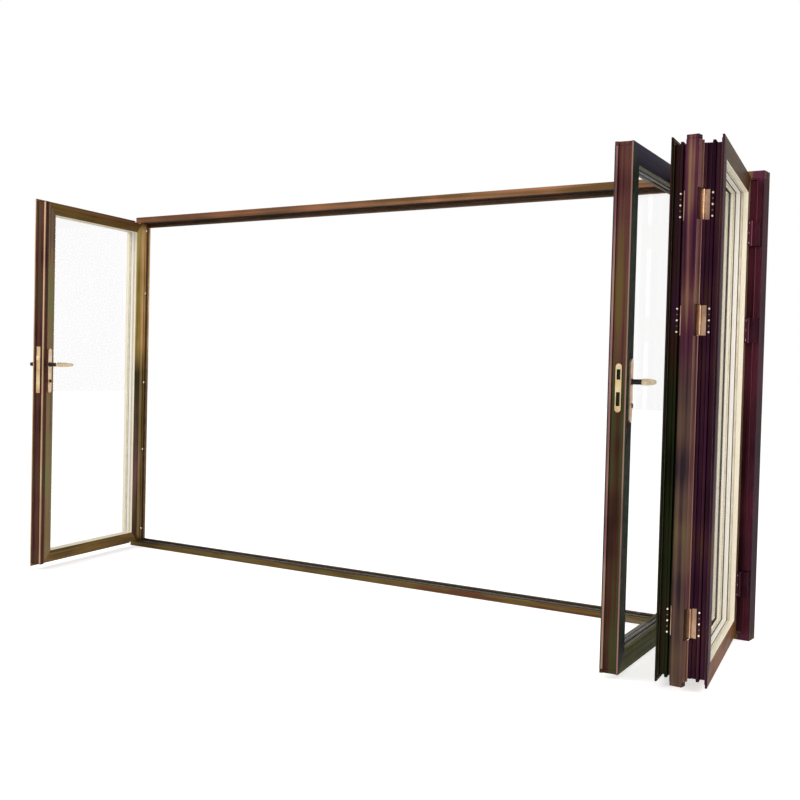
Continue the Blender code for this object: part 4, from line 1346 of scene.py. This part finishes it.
@dataclass
class LeverSet:
    """Levers of one leaf: a black neck from each plate, and a champagne grip shaped like a willow leaf."""

    leaf: Leaf
    body: str
    replaced: str
    sides: tuple[int, ...]
    neck_radius: float = 0.0104
    neck_end: float = 0.0460
    neck_sink: float = 0.002
    neck_arris: float = 0.001
    neck_sides: int = 40
    root_reach: float = 0.0440
    tip_reach: float = 0.0650
    grip_length: float = 0.1370
    grip_thick: float = 0.0140
    grip_tall: float = 0.0260
    swell_start: float = 0.26
    swell_span: float = 0.80
    swell_power: float = 0.8
    slim: float = 0.56
    swelling: float = 0.44
    thinning: float = 0.42
    end_share: float = 0.05
    end_least: float = 0.04
    squareness: float = 0.75
    sections: int = 28
    corners: int = 20
    collar: ClassVar[tuple[tuple[float, float], ...]] = ((0.0022, 0.0), (0.0022, 0.0040), (0.0012, 0.0052),
                                                         (0.0, 0.0058))

    def narrowed(self, inside: float) -> float:
        """Share of its full size that a section near an end has, by how far it is inside the rounding."""
        return min(1.0, math.sqrt(max(0.0, 1.0 - max(0.0, inside) ** 2)) + self.end_least)

    def grip_ring(self, share: float, side: int) -> list[Vector]:
        """One section of the grip.

        Args:
            share: Place along the grip, 0 at the neck and 1 at the tip.
            side: 1 on the inner face and -1 on the outer one.

        Returns:
            The points round the section.
        """
        section = self.leaf.section
        swell = math.sin(math.pi * min(1.0, self.swell_start + self.swell_span * share)) ** self.swell_power
        tall = self.grip_tall / 2 * (self.slim + self.swelling * swell)
        thick = self.grip_thick / 2 * (1.0 - self.thinning * share)
        tip = self.narrowed((share - (1.0 - self.end_share)) / self.end_share)
        root = self.narrowed((self.end_share - share) / self.end_share)
        along = section.spindle - share * self.grip_length
        sweep = self.root_reach + (self.tip_reach - self.root_reach) * math.sin(math.pi / 2 * share)
        middle = section.face(side) + side * sweep
        ring = []
        for step in range(self.corners):
            angle = math.tau * step / self.corners
            up = math.copysign(abs(math.sin(angle)) ** self.squareness, math.sin(angle)) * tall * tip * root
            out = math.copysign(abs(math.cos(angle)) ** self.squareness, math.cos(angle)) * thick * tip * root
            ring.append(Vector((along, section.lever_height + up, middle + out)))
        return ring

    def build(self) -> None:
        """Make the necks and the grips as one piece with two finishes."""
        leaf, section, finishes = self.leaf, self.leaf.section, self.leaf.shop.finishes
        grips = bmesh.new()
        for side in self.sides:
            lofted([self.grip_ring(step / self.sections, side) for step in range(self.sections + 1)], grips)
        near, radius = section.plate_face - self.neck_sink, self.neck_radius
        profile = [(0.0, near), *((radius + reach, near + rise) for reach, rise in self.collar),
                   (radius, self.neck_end - self.neck_arris), (radius - self.neck_arris, self.neck_end),
                   (0.0, self.neck_end)]
        necks = bmesh.new()
        for side in self.sides:
            stand = Vector((section.spindle, section.lever_height, section.face(side)))
            turned_on_face(profile, stand, side, finishes.neck, self.neck_sides, necks)
        whole = join_meshes("levers", [to_mesh("levers", grips, finishes.grip, smooth=True),
                                       to_mesh("necks", necks, finishes.neck, smooth=True)])
        leaf.shop.deliver(f"{leaf.name}_lever_handles", place_mesh(whole, leaf.place.matrix), self.body,
                          "polished_champagne_metal", (self.replaced,))


def turned_on_face(profile: Sequence[tuple[float, float]], stand: Vector, side: int, material: bpy.types.Material,
                   steps: int, target: bmesh.types.BMesh) -> None:
    """Add a turned body that stands on one face of a leaf.

    Args:
        profile: Radius and height of each ring, from the foot up.
        stand: Place of its foot, in the leaf's own plane.
        side: 1 on the inner face and -1 on the outer one.
        material: Its finish.
        steps: Its sides.
        target: Mesh that it joins.
    """
    part = bmesh.new()
    turned(profile, part, steps)
    bmesh.ops.transform(part, matrix=Matrix.Translation(stand) @ Matrix.Diagonal((1.0, 1.0, side, 1.0)),
                        verts=part.verts)
    if side < 0:
        bmesh.ops.reverse_faces(part, faces=part.faces)
    shell = to_mesh("turned", part, material)
    target.from_mesh(shell)
    bpy.data.meshes.remove(shell)


def join_meshes(name: str, parts: Sequence[bpy.types.Mesh]) -> bpy.types.Mesh:
    """Join meshes into one that keeps the finish of each.

    Args:
        name: Name of the joined mesh.
        parts: The meshes, which are used up.

    Returns:
        The joined mesh.
    """
    whole = bmesh.new()
    materials: list[bpy.types.Material] = []
    for part in parts:
        shift = {}
        for index, material in enumerate(part.materials):
            if material not in materials:
                materials.append(material)
            shift[index] = materials.index(material)
        before = len(whole.faces)
        whole.from_mesh(part)
        whole.faces.ensure_lookup_table()
        for face in whole.faces[before:]:
            face.material_index = shift[face.material_index]
        bpy.data.meshes.remove(part)
    mesh = bpy.data.meshes.new(name)
    whole.to_mesh(mesh)
    whole.free()
    for material in materials:
        mesh.materials.append(material)
    return mesh


@dataclass
class LockTrim:
    """Plates of the lock on a leaf, their key plugs and their screws."""

    leaf: Leaf
    plates: tuple[tuple[str, int], ...]
    above: float = 0.090
    length: float = 0.248
    screw_inset: float = 0.016
    screw_sink: float = 0.0004
    cylinder_drop: float = 0.092
    cylinder_proud: float = 0.0113
    plug_sides: int = 32
    keyway_half_width: float = 0.0011
    keyway_half_height: float = 0.0044
    keyway_arris: float = 0.0002
    keyway_depths: tuple[float, float] = (0.0020, 0.0029)
    screw: StudSize = StudSize(0.0038, 0.0030, 0.0009, 0.5, 0.0006)
    plug: ClassVar[tuple[tuple[float, float], ...]] = ((0.0, 0.0), (0.0092, 0.0), (0.0092, 0.0016), (0.0084, 0.0026),
                                                       (0.0, 0.0026))

    def build(self) -> None:
        """Dress the plates and add a plug with its keyway, a black block as painted shade in the slot, and two screws
        on each.
        """
        leaf, section, shop = self.leaf, self.leaf.section, self.leaf.shop
        shop.dress([name for name, _ in self.plates], shop.finishes.plate)
        screws = []
        keyway_shades = bmesh.new()
        plugs = bmesh.new()
        along = section.spindle
        top = section.lever_height + self.above
        key = section.lever_height - self.cylinder_drop
        for _, side in self.plates:
            face = section.face(side)
            out = leaf.place.inward if side > 0 else leaf.place.outward
            depth = face + side * (section.plate_face - self.screw_sink)
            for height in (top - self.screw_inset, top - self.length + self.screw_inset):
                screws.append((leaf.place.at(along, height, depth), out))
            proud = face + side * self.cylinder_proud
            turned_on_face(self.plug, Vector((along, key, proud)), side, shop.finishes.plug, self.plug_sides, plugs)
            # The keyway is a black rubber block through the plug's face: painted shade standing for the slot.
            low, high = sorted(proud + side * depth for depth in self.keyway_depths)
            slab((along - self.keyway_half_width, key - self.keyway_half_height, low),
                 (along + self.keyway_half_width, key + self.keyway_half_height, high), self.keyway_arris, keyway_shades)
        whole = join_meshes("key_plugs", [to_mesh("plugs", plugs, shop.finishes.plug, smooth=True),
                                          to_mesh("keyway_shade", keyway_shades, shop.finishes.rubber)])
        shop.deliver(f"{leaf.name}_key_plugs", place_mesh(whole, leaf.place.matrix), leaf.body, "brushed_brass")
        mesh = StudField(shop.finishes.screw).stand("plate_screws", screws, self.screw)
        shop.deliver(f"{leaf.name}_plate_screws", mesh, leaf.body, "zinc_plated_steel")


@dataclass
class HingeTrim:
    """Finishes of the hinges, and their screws on the bodies that carry them."""

    shop: Workshop
    leaves: dict[str, Leaf]
    heights: tuple[float, ...] = (0.255, 1.390, 1.820)
    length: float = 0.112
    pitch: float = 0.0435
    wing: float = 0.003
    wing_gap: float = 0.0003
    joint_gap: float = 0.004
    ridge_reach: float = 0.009
    ridge_depth: float = 0.038
    bright_screw: StudSize = StudSize(0.0046, 0.0046 * 0.72, 0.0013, 0.42, 0.0009)
    dull_screw: StudSize = StudSize(0.0040, 0.0040 * 0.72, 0.0013, 0.42, 0.0009)
    wing_middle: ClassVar[dict[str, float]] = {"traffic_leaf": 0.012, "leaf_2": 0.022, "leaf_3": 0.022,
                                               "leaf_4": 0.041}

    def columns(self, along: float, depth: float, leaf: Leaf, facing: Vector,
                bright: bool) -> list[tuple[Vector, Vector]]:
        """Screws up one wing on every hinge.

        Args:
            along: Place of the column along the leaf.
            depth: Depth that it stands at.
            leaf: The leaf.
            facing: Direction that the heads look.
            bright: Whether they are the bright ones or the dull ones between them.

        Returns:
            Place and direction of each.
        """
        offsets = (-self.pitch, 0.0, self.pitch) if bright else (-self.pitch / 2, self.pitch / 2)
        return [(leaf.place.at(along, height + offset, depth), facing)
                for height in self.heights for offset in offsets]

    def build(self) -> None:
        """Dress the hinges and add their screws."""
        shop = self.shop
        finishes = shop.finishes
        names = [name for name in shop.nodes if "hinge" in name and "stile" not in name]
        jamb_names = [name for name in names if name.startswith("right_jamb")]
        shop.dress([name for name in names if name not in jamb_names], finishes.hinge)
        shop.dress(jamb_names, finishes.right_jamb)
        traffic = self.leaves["traffic_leaf"]
        leaf_4, leaf_3, leaf_2 = (self.leaves[name] for name in ("leaf_4", "leaf_3", "leaf_2"))
        front = -self.wing_gap - self.wing
        for bright, finish, size, tag in ((True, finishes.screw, self.bright_screw, "bright"),
                                          (False, finishes.dull_screw, self.dull_screw, "dull")):
            wings = []
            for leaf in (leaf_4, leaf_3, leaf_2):
                wings += self.columns(self.wing_middle[leaf.name], front, leaf, leaf.place.outward, bright)
            for leaf in (leaf_3, leaf_4):
                ridge = leaf.section.width - leaf.section.flange_reach + self.ridge_reach
                wings += self.columns(ridge, self.ridge_depth, leaf, leaf.place.end, bright)
            name = f"stack_hinge_screws_{tag}"
            shop.deliver(name, StudField(finish).stand(name, wings, size), FIXED, "zinc_plated_steel")
            swing = self.columns(self.wing_middle[traffic.name], front, traffic, traffic.place.outward, bright)
            swing = [(place, facing) for place, facing in swing
                     if any(self.joint_gap < place.z - height < self.length / 2 for height in self.heights)]
            name = f"traffic_hinge_screws_{tag}"
            shop.deliver(name, StudField(finish).stand(name, swing, size), SWINGING, "zinc_plated_steel")


@dataclass
class OuterFrame:
    """Head, sill and jambs, with their seals, track lips, brushes and fixing screws."""

    shop: Workshop
    half_width: float = 2.000
    height: float = 2.100
    front: float = -0.039
    channel_y: float = -0.003
    stop_front: float = 0.029
    seal: StripSize = StripSize(0.0096, 0.0048, 0.0, 0.0018)
    seal_inset: float = 0.0440
    seal_low: float = 0.0371
    seal_drop: float = 0.0520
    flap_sides: tuple[float, float] = (0.0615, 0.0270)
    flap_depths: tuple[float, float] = (0.0034, 0.0004)
    flap_low: float = 0.040
    flap_drop: float = 0.045
    flap_arris: float = 0.0008
    plug_length: float = 0.0180
    plug_arris: float = 0.0006
    head_plug: tuple[float, float, float] = (0.0128, 0.0368, 0.0112)
    sill_plug: tuple[float, float, float] = (0.0078, 0.0162, 0.0318)
    lip_inset: float = 0.052
    lip_sides: tuple[float, float] = (0.0129, 0.0080)
    lip_drops: tuple[float, float] = (0.0385, 0.0367)
    lip_arris: float = 0.0004
    liner_half: float = 0.0077
    liner_thick: float = 0.0004
    liner_lean: float = 0.0003
    liner_arris: float = 0.0002
    liner_wall: tuple[float, float] = (0.0165, 0.0334)
    liner_floor: tuple[float, float] = (0.0161, 0.0166)
    cover_inset: float = 0.0520
    cover_thick: float = 0.0012
    cover_arris: float = 0.0003
    cover_stop: float = 0.0006
    cover_rise: float = 0.0318
    cover_drop: float = 0.0368
    brush_inset: float = 0.054
    brush_lines: tuple[float, float] = (0.0065, 0.0095)
    brush_low: float = 0.0315
    brush_drop: float = 0.0365
    tuft: ClassVar[dict[str, float]] = {"tuft_spacing": 0.0042, "tuft_height": 0.0029, "tuft_radius": 0.0019,
                                        "lean": 0.25}
    fixing: StudSize = StudSize(0.0074, 0.0058, 0.0018, 0.45, 0.0008)
    fixing_inset: float = 0.0370
    fixing_depth: float = 0.0165
    foot_depth: float = -0.0322
    foot_height: float = 0.06
    fixing_heights: tuple[float, ...] = (0.0545, 0.1070, 0.62, 1.05, 1.62, 2.02)

    def build_stop_seal(self) -> None:
        """The bulb seal on the stops, which the closed leaves press against."""
        corners = rectangle(-self.half_width + self.seal_inset, self.seal_low, self.half_width - self.seal_inset,
                            self.height - self.seal_drop)
        upright = Matrix(((1, 0, 0, 0), (0, 0, 1, 0), (0, 1, 0, 0), (0, 0, 0, 1)))
        place = Matrix.Translation((0.0, self.stop_front - self.seal.strip_depth / 2, 0.0)) @ upright
        level, standing = RubberStrip(self.shop.finishes.seal), RubberStrip(self.shop.finishes.upright_seal)
        runs = []
        for strip, ends in ((level, corners[:2]), (standing, corners[1:3]), (level, corners[2:]),
                            (standing, (corners[3], corners[0]))):
            runs.append(strip.run("stop_seal", path_mesh(ends, False), place, **asdict(self.seal)))
        self.shop.deliver("frame_stop_seal", join_meshes("stop_seal", runs), FIXED, "bronze_anodised_aluminium")

    def build_hung_flap(self) -> None:
        """The flap that closes the slit between the right jamb and the leaf that hangs on it."""
        body = bmesh.new()
        slab((self.half_width - self.flap_sides[0], self.front - self.flap_depths[0], self.flap_low),
             (self.half_width - self.flap_sides[1], self.front - self.flap_depths[1], self.height - self.flap_drop),
             self.flap_arris, body)
        mesh = to_mesh("flap", body, self.shop.finishes.right_jamb)
        self.shop.deliver("frame_hung_edge_flap", mesh, FIXED, "bronze_anodised_aluminium")

    def build_channel_plugs(self) -> None:
        """Moulded plugs that close the ends of the head's and the sill's channels."""
        body = bmesh.new()
        half, low, high = self.head_plug
        plugs = ((half, self.height - low, self.height - high), self.sill_plug)
        for sign in (-1, 1):
            near, far = sorted((sign * (self.half_width - self.plug_length), sign * (self.half_width - FIT)))
            for half, low, high in plugs:
                slab((near, self.channel_y - half, low), (far, self.channel_y + half, high), self.plug_arris, body)
        mesh = to_mesh("plugs", body, self.shop.finishes.right_jamb)
        self.shop.deliver("frame_channel_plugs", mesh, FIXED, "bronze_anodised_aluminium")

    def build_track_lips(self) -> None:
        """The folded steel liner of the sill's channel and the running lips of the head's channel."""
        span = self.half_width - self.lip_inset
        body = bmesh.new()
        lips = bmesh.new()
        for sign in (-1, 1):
            side = self.channel_y + sign * self.liner_half
            low, high = self.liner_wall
            slab((-span, side - self.liner_lean - self.liner_thick, low), (span, side + self.liner_lean, high),
                 self.liner_arris, body)
            inner, outer = sorted(self.channel_y + sign * reach for reach in self.lip_sides)
            low, high = (self.height - drop for drop in self.lip_drops)
            slab((-span, inner, low), (span, outer, high), self.lip_arris, lips)
        low, high = self.liner_floor
        slab((-span, self.channel_y - self.liner_half, low), (span, self.channel_y + self.liner_half, high),
             self.liner_arris, body)
        mesh = join_meshes("liner", [to_mesh("liner", body, self.shop.finishes.zinc),
                                     to_mesh("lips", lips, self.shop.finishes.neck)])
        self.shop.deliver("frame_track_liner", mesh, FIXED, "zinc_plated_steel")

    def build_corner_covers(self) -> None:
        """Thin covers over the joints of the right jamb with the head and the sill."""
        body = bmesh.new()
        near, far = self.half_width - self.cover_inset, self.half_width - FIT
        for low, high in ((self.cover_stop, self.cover_rise),
                          (self.height - self.cover_drop, self.height - self.cover_stop)):
            slab((near, self.front - self.cover_thick, low), (far, self.front - FIT, high), self.cover_arris, body)
        mesh = to_mesh("covers", body, self.shop.finishes.right_jamb)
        self.shop.deliver("frame_corner_covers", mesh, FIXED, "bronze_anodised_aluminium")

    def build_brushes(self) -> None:
        """Pile brushes along the front lip of the head and of the sill."""
        span = self.half_width - self.brush_inset
        rows = []
        for base, up in ((self.height - self.brush_drop, -1.0), (self.brush_low, 1.0)):
            for line in self.brush_lines:
                flip = Matrix.Diagonal((1.0, 1.0, up, 1.0))
                place = Matrix.Translation((0.0, self.front + line, base)) @ flip
                rows.append(PileRow(self.shop.finishes.pile).run(
                    "brush", path_mesh([(-span, 0.0), (span, 0.0)], False), place, **self.tuft))
        self.shop.deliver("frame_pile_brushes", join_meshes("brushes", rows), FIXED, "bronze_anodised_aluminium")

    def build_fixings(self) -> None:
        """Fixing screws through the jambs' inner faces and the hinge feet."""
        screws = []
        for sign in (-1, 1):
            for height in self.fixing_heights:
                depth = self.foot_depth if height < self.foot_height else self.fixing_depth
                place = Vector((sign * (self.half_width - self.fixing_inset), depth, height))
                screws.append((place, Vector((-sign, 0, 0))))
        mesh = StudField(self.shop.finishes.screw).stand("fixings", screws, self.fixing)
        self.shop.deliver("frame_fixing_screws", mesh, FIXED, "zinc_plated_steel")

    def build(self) -> None:
        """Dress the bars and add their fittings."""
        finishes = self.shop.finishes
        self.shop.dress(("head_track",), finishes.head)
        self.shop.dress(("sill_track",), finishes.sill)
        self.shop.dress(("left_jamb",), finishes.left_jamb)
        self.shop.dress(("right_jamb",), finishes.right_jamb)
        self.shop.dress(("front_post", "track_post"), finishes.post)
        self.build_stop_seal()
        self.build_hung_flap()
        self.build_channel_plugs()
        self.build_corner_covers()
        self.build_track_lips()
        self.build_brushes()
        self.build_fixings()


@dataclass
class PostTrim:
    """End caps and side covers of the front post, between leaves 3 and 4."""

    shop: Workshop
    low: float = 0.0216
    high: float = 2.0734
    turn: float = -4.0
    half_width: float = 0.025
    half_depth: float = 0.017
    inset: float = 0.0004
    cap_gap: float = 0.0003
    cap_arris: float = 0.0020
    stop: float = 0.003
    cover_near: float = 0.0253
    cover_far: float = 0.0261
    cover_front: float = -0.0150
    cover_back: float = 0.0164
    cover_arris: float = 0.0003
    fin_near: float = 0.0262
    fin_front: float = 0.0120
    fin_arris: float = 0.0008
    fin: float = 0.0076
    hinges: tuple[float, ...] = (0.255, 1.390, 1.820)
    clear: float = 0.0590

    def corners(self) -> tuple[Vector, Vector, Vector]:
        """Find the post.

        Returns:
            Its middle, and its directions across and back.
        """
        low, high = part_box("front_post")
        across = Vector((math.cos(math.radians(self.turn)), math.sin(math.radians(self.turn)), 0.0))
        return (low + high) / 2, across, Vector((-across.y, across.x, 0.0))

    def build(self) -> None:
        """Cap the ends, and clip a cover with a fin on each side, left out at the hinges."""
        middle, across, back = self.corners()
        node_low, node_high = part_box("front_post")
        stand = Matrix((across, back, Vector((0.0, 0.0, 1.0)))).transposed().to_4x4()
        stand.translation = Vector((middle.x, middle.y, 0.0))
        wide, deep = self.half_width - self.inset, self.half_depth - self.inset
        caps = bmesh.new()
        for low, high in ((node_high.z + self.cap_gap, self.high), (self.low, node_low.z - self.cap_gap)):
            slab((-wide, -deep, low), (wide, deep, high), self.cap_arris, caps, 2)
        mesh = to_mesh("caps", caps, self.shop.finishes.post)
        self.shop.deliver("front_post_end_caps", place_mesh(mesh, stand), FIXED, "bronze_anodised_aluminium")
        covers = bmesh.new()
        rests = [node_low.z + self.stop]
        for height in self.hinges:
            rests += [height - self.clear, height + self.clear]
        rests.append(node_high.z - self.stop)
        for low, high in zip(rests[::2], rests[1::2]):
            for side in (-1, 1):
                near, far = sorted((side * self.cover_near, side * self.cover_far))
                slab((near, self.cover_front, low), (far, self.cover_back, high), self.cover_arris, covers)
                near, far = sorted((side * self.fin_near, side * (self.cover_near + self.fin)))
                slab((near, self.fin_front, low), (far, self.cover_back, high), self.fin_arris, covers)
        # The side covers take the lighter tone: a painted highlight on the post's sides.
        mesh = to_mesh("covers", covers, self.shop.finishes.post_side_highlight)
        self.shop.deliver("front_post_side_covers", place_mesh(mesh, stand), FIXED, "bronze_anodised_aluminium")


@dataclass
class TrackHardware:
    """The roller carriage in the head and the guide shoe in the sill, under the post between leaves 2 and 3."""

    shop: Workshop
    block_tall: float = 0.018
    block_half: float = 0.0048
    block_inset: float = 0.004
    block_drop: float = 0.001
    block_arris: float = 0.0012
    wheel: StudSize = StudSize(0.0085, 0.0085 * 0.94, 0.0048, 0.4, 0.0012)
    wheel_shares: tuple[float, ...] = (-0.36, -0.16, 0.16, 0.36)
    wheel_out: float = 0.0049
    wheel_up: float = 0.0092
    collar: ClassVar[tuple[tuple[float, float], ...]] = ((0.0090, 0.0), (0.0098, 0.001), (0.0098, 0.005),
                                                         (0.0060, 0.0055))
    stem_radius: float = 0.0060
    stem_bite: float = 0.004
    shoe_tall: float = 0.010
    shoe_arris: float = 0.0018
    pin: ClassVar[tuple[tuple[float, float], ...]] = ((0.0056, 0.003), (0.0059, 0.002), (0.0059, 0.0), (0.0, 0.0))
    pin_radius: float = 0.0056
    pin_bite: float = 0.004
    turned_sides: int = 24

    def post(self, name: str, profile: Sequence[tuple[float, float]], middle: Vector) -> bpy.types.Mesh:
        """A turned post of zinc.

        Args:
            name: Name of the mesh.
            profile: Radius and height of each ring, from the foot up.
            middle: Place of its axis in plan.

        Returns:
            The mesh.
        """
        body = bmesh.new()
        turned(profile, body, self.turned_sides)
        bmesh.ops.translate(body, vec=(middle.x, middle.y, 0.0), verts=body.verts)
        return to_mesh(name, body, self.shop.finishes.zinc, smooth=True)

    def build_carriage(self) -> None:
        """Make the carriage: a block with four wheels on each side, and its stem."""
        low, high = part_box("roller_carriage")
        middle = (low + high) / 2
        base = high.z - self.block_tall
        body = bmesh.new()
        slab((low.x + self.block_inset, middle.y - self.block_half, base),
             (high.x - self.block_inset, middle.y + self.block_half, high.z - self.block_drop), self.block_arris,
             body, 2)
        carriage = to_mesh("carriage", body, self.shop.finishes.zinc)
        top = base + self.stem_bite
        collar = ((radius, low.z + rise) for radius, rise in self.collar)
        stem = self.post("stem", [(0.0, low.z), *collar, (self.stem_radius, top), (0.0, top)], middle)
        wheels = []
        for share in self.wheel_shares:
            for side in (-1, 1):
                hub = Vector((middle.x + share * (high.x - low.x), middle.y + side * self.wheel_out,
                              base + self.wheel_up))
                wheels.append((hub, Vector((0, side, 0))))
        wheel_mesh = StudField(self.shop.finishes.neck).stand("wheels", wheels, self.wheel)
        whole = join_meshes("carriage", [carriage, stem, wheel_mesh])
        self.shop.deliver("track_roller_carriage", whole, FIXED, "zinc_plated_steel", ("roller_carriage",))

    def build_shoe(self) -> None:
        """Make the shoe: a block of nylon and its pin."""
        low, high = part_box("guide_shoe")
        body = bmesh.new()
        slab(low, (high.x, high.y, low.z + self.shoe_tall), self.shoe_arris, body, 3)
        block = to_mesh("shoe", body, self.shop.finishes.neck, smooth=True)
        foot = low.z + self.pin_bite
        head = ((radius, high.z - drop) for radius, drop in self.pin)
        pin = self.post("pin", [(0.0, foot), (self.pin_radius, foot), *head], (low + high) / 2)
        self.shop.deliver("track_guide_shoe", join_meshes("shoe", [block, pin]), FIXED, "zinc_plated_steel",
                          ("guide_shoe",))

    def build(self) -> None:
        """Make the carriage and the shoe."""
        self.build_carriage()
        self.build_shoe()


@dataclass
class MeetingHardware:
    """The latch plate on the traffic leaf's edge and the strike plate on leaf 2's, with their screws."""

    traffic: Leaf
    receiver: Leaf
    plate_depth: float = 0.034
    seat: float = 0.019
    plate_proud: float = 0.0033
    screw_sink: float = 0.0003
    latch_screws: tuple[float, ...] = (0.086, -0.020, -0.148)
    strike_screws: tuple[float, ...] = (0.0585, -0.0165, -0.1085)
    screw: StudSize = StudSize(0.0040, 0.0033, 0.0008, 0.5, 0.0005)

    def build(self) -> None:
        """Dress the two plates and add their screws."""
        shop = self.traffic.shop
        shop.dress(("traffic_leaf_lock_faceplate", "leaf_2_strike_plate"), shop.finishes.strike)
        section = self.traffic.section
        face = section.width - section.flange_reach + self.seat + self.plate_proud
        for leaf, rises in ((self.traffic, self.latch_screws), (self.receiver, self.strike_screws)):
            studs = [(leaf.place.at(face - self.screw_sink, section.lever_height + rise, self.plate_depth),
                      leaf.place.end) for rise in rises]
            mesh = StudField(shop.finishes.strike).stand("screws", studs, self.screw)
            shop.deliver(f"{leaf.name}_lock_plate_screws", mesh, leaf.body, "brushed_brass")


@dataclass(frozen=True)
class Lamp:
    """A square soft lamp: its place, what it looks at, its side, its power in watts and its colour."""

    name: str
    place: tuple[float, float, float]
    target: tuple[float, float, float]
    size: float
    power: float
    tint: str


@dataclass
class Studio:
    """Camera, lamps, floor and the white behind the door. Angles in degrees, focal length in millimetres."""

    place: tuple[float, float, float] = (3.5703, -5.1543, 1.1882)
    yaw: float = -34.34
    pitch: float = -1.64
    roll: float = 1.43
    lens: float = 51.65
    daylight: float = 0.62
    floor_half: float = 30.0
    floor_drop: float = 0.0005
    lamps: tuple[Lamp, ...] = (Lamp("key", (-2.5, -5.5, 4.5), (0.0, 0.0, 1.0), 3.0, 170.0, "#fff6ea"),
                               Lamp("side", (6.0, -1.5, 2.5), (0.5, 0.0, 1.0), 2.5, 120.0, "#fff9f2"))

    def build_camera(self) -> None:
        """Stand the camera where the photograph was taken from."""
        yaw, pitch, roll = (math.radians(angle) for angle in (self.yaw, self.pitch, self.roll))
        ahead = Vector((math.sin(yaw) * math.cos(pitch), math.cos(yaw) * math.cos(pitch), math.sin(pitch)))
        level = Vector((math.cos(yaw), -math.sin(yaw), 0.0))
        above = level.cross(ahead)
        right = math.cos(roll) * level + math.sin(roll) * above
        up = math.cos(roll) * above - math.sin(roll) * level
        data = bpy.data.cameras.new("camera")
        data.lens = self.lens
        camera = bpy.data.objects.new("camera", data)
        turn = Matrix((right, up, -ahead)).transposed()
        camera.matrix_world = Matrix.Translation(self.place) @ turn.to_4x4()
        bpy.context.scene.collection.objects.link(camera)
        bpy.context.scene.camera = camera

    def build_lamp(self, lamp: Lamp) -> None:
        """Hang a lamp.

        Args:
            lamp: Its sizes and colour.
        """
        data = bpy.data.lights.new(lamp.name, "AREA")
        data.size = lamp.size
        data.energy = lamp.power
        data.color = colour(lamp.tint)[:3]
        holder = bpy.data.objects.new(lamp.name, data)
        holder.location = lamp.place
        holder.rotation_euler = (Vector(lamp.target) - Vector(lamp.place)).to_track_quat("-Z", "Y").to_euler()
        bpy.context.scene.collection.objects.link(holder)

    def build_world(self) -> None:
        """White as the camera sees it, and softer daylight for everything else."""
        world = bpy.data.worlds.new("studio")
        bpy.context.scene.world = world
        world.use_nodes = True
        tree = world.node_tree
        tree.nodes.clear()
        inputs = {"Value": seen_rays(tree), "To Min": self.daylight, "To Max": 1.0}
        level = add_node(tree, "ShaderNodeMapRange", inputs).outputs["Result"]
        sky = add_node(tree, "ShaderNodeBackground", {"Color": colour(WHITE), "Strength": level}).outputs[0]
        add_node(tree, "ShaderNodeOutputWorld", {"Surface": sky})

    def build_floor(self) -> None:
        """Lay the floor just under the sill."""
        body = bmesh.new()
        bmesh.ops.create_grid(body, x_segments=1, y_segments=1, size=self.floor_half)
        floor = bpy.data.objects.new("floor", to_mesh("floor", body, StudioGround().build()))
        floor.location.z = -self.floor_drop
        bpy.context.scene.collection.objects.link(floor)

    def build(self) -> None:
        """Set up the studio."""
        self.build_camera()
        self.build_world()
        for lamp in self.lamps:
            self.build_lamp(lamp)
        self.build_floor()
        bpy.context.scene.view_settings.view_transform = "Standard"


def main(frame: dict) -> None:
    """Set up the studio, then dress and build the door from the frame inwards.
    """
    Studio().build()
    shop = Workshop(frame["nodes"], Finishes())
    OuterFrame(shop).build()
    TrackHardware(shop).build()
    PostTrim(shop).build()
    leaves = {
        "traffic_leaf": Leaf("traffic_leaf", Hand.LEFT, SWINGING, shop, True),
        "leaf_2": Leaf("leaf_2", Hand.RIGHT, FIXED, shop, True, cream=False, cap=0.0152),
        "leaf_3": Leaf("leaf_3", Hand.LEFT, FIXED, shop, False),
        "leaf_4": Leaf("leaf_4", Hand.RIGHT, FIXED, shop, False),
    }
    for leaf in leaves.values():
        leaf.build()
    LeverSet(leaves["traffic_leaf"], "traffic_levers", "traffic_leaf_levers", (-1, 1)).build()
    LeverSet(leaves["leaf_2"], "stack_lever", "leaf_2_lever", (-1,)).build()
    LockTrim(leaves["traffic_leaf"], (("traffic_leaf_outer_plate", -1), ("traffic_leaf_inner_plate", 1))).build()
    LockTrim(leaves["leaf_2"], (("leaf_2_handle_plate", -1),)).build()
    MeetingHardware(leaves["traffic_leaf"], leaves["leaf_2"]).build()
    HingeTrim(shop, leaves).build()


if __name__ == "__main__":
    logging.basicConfig(level=logging.INFO, format="%(name)s: %(message)s")
    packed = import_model()
    main(packed)
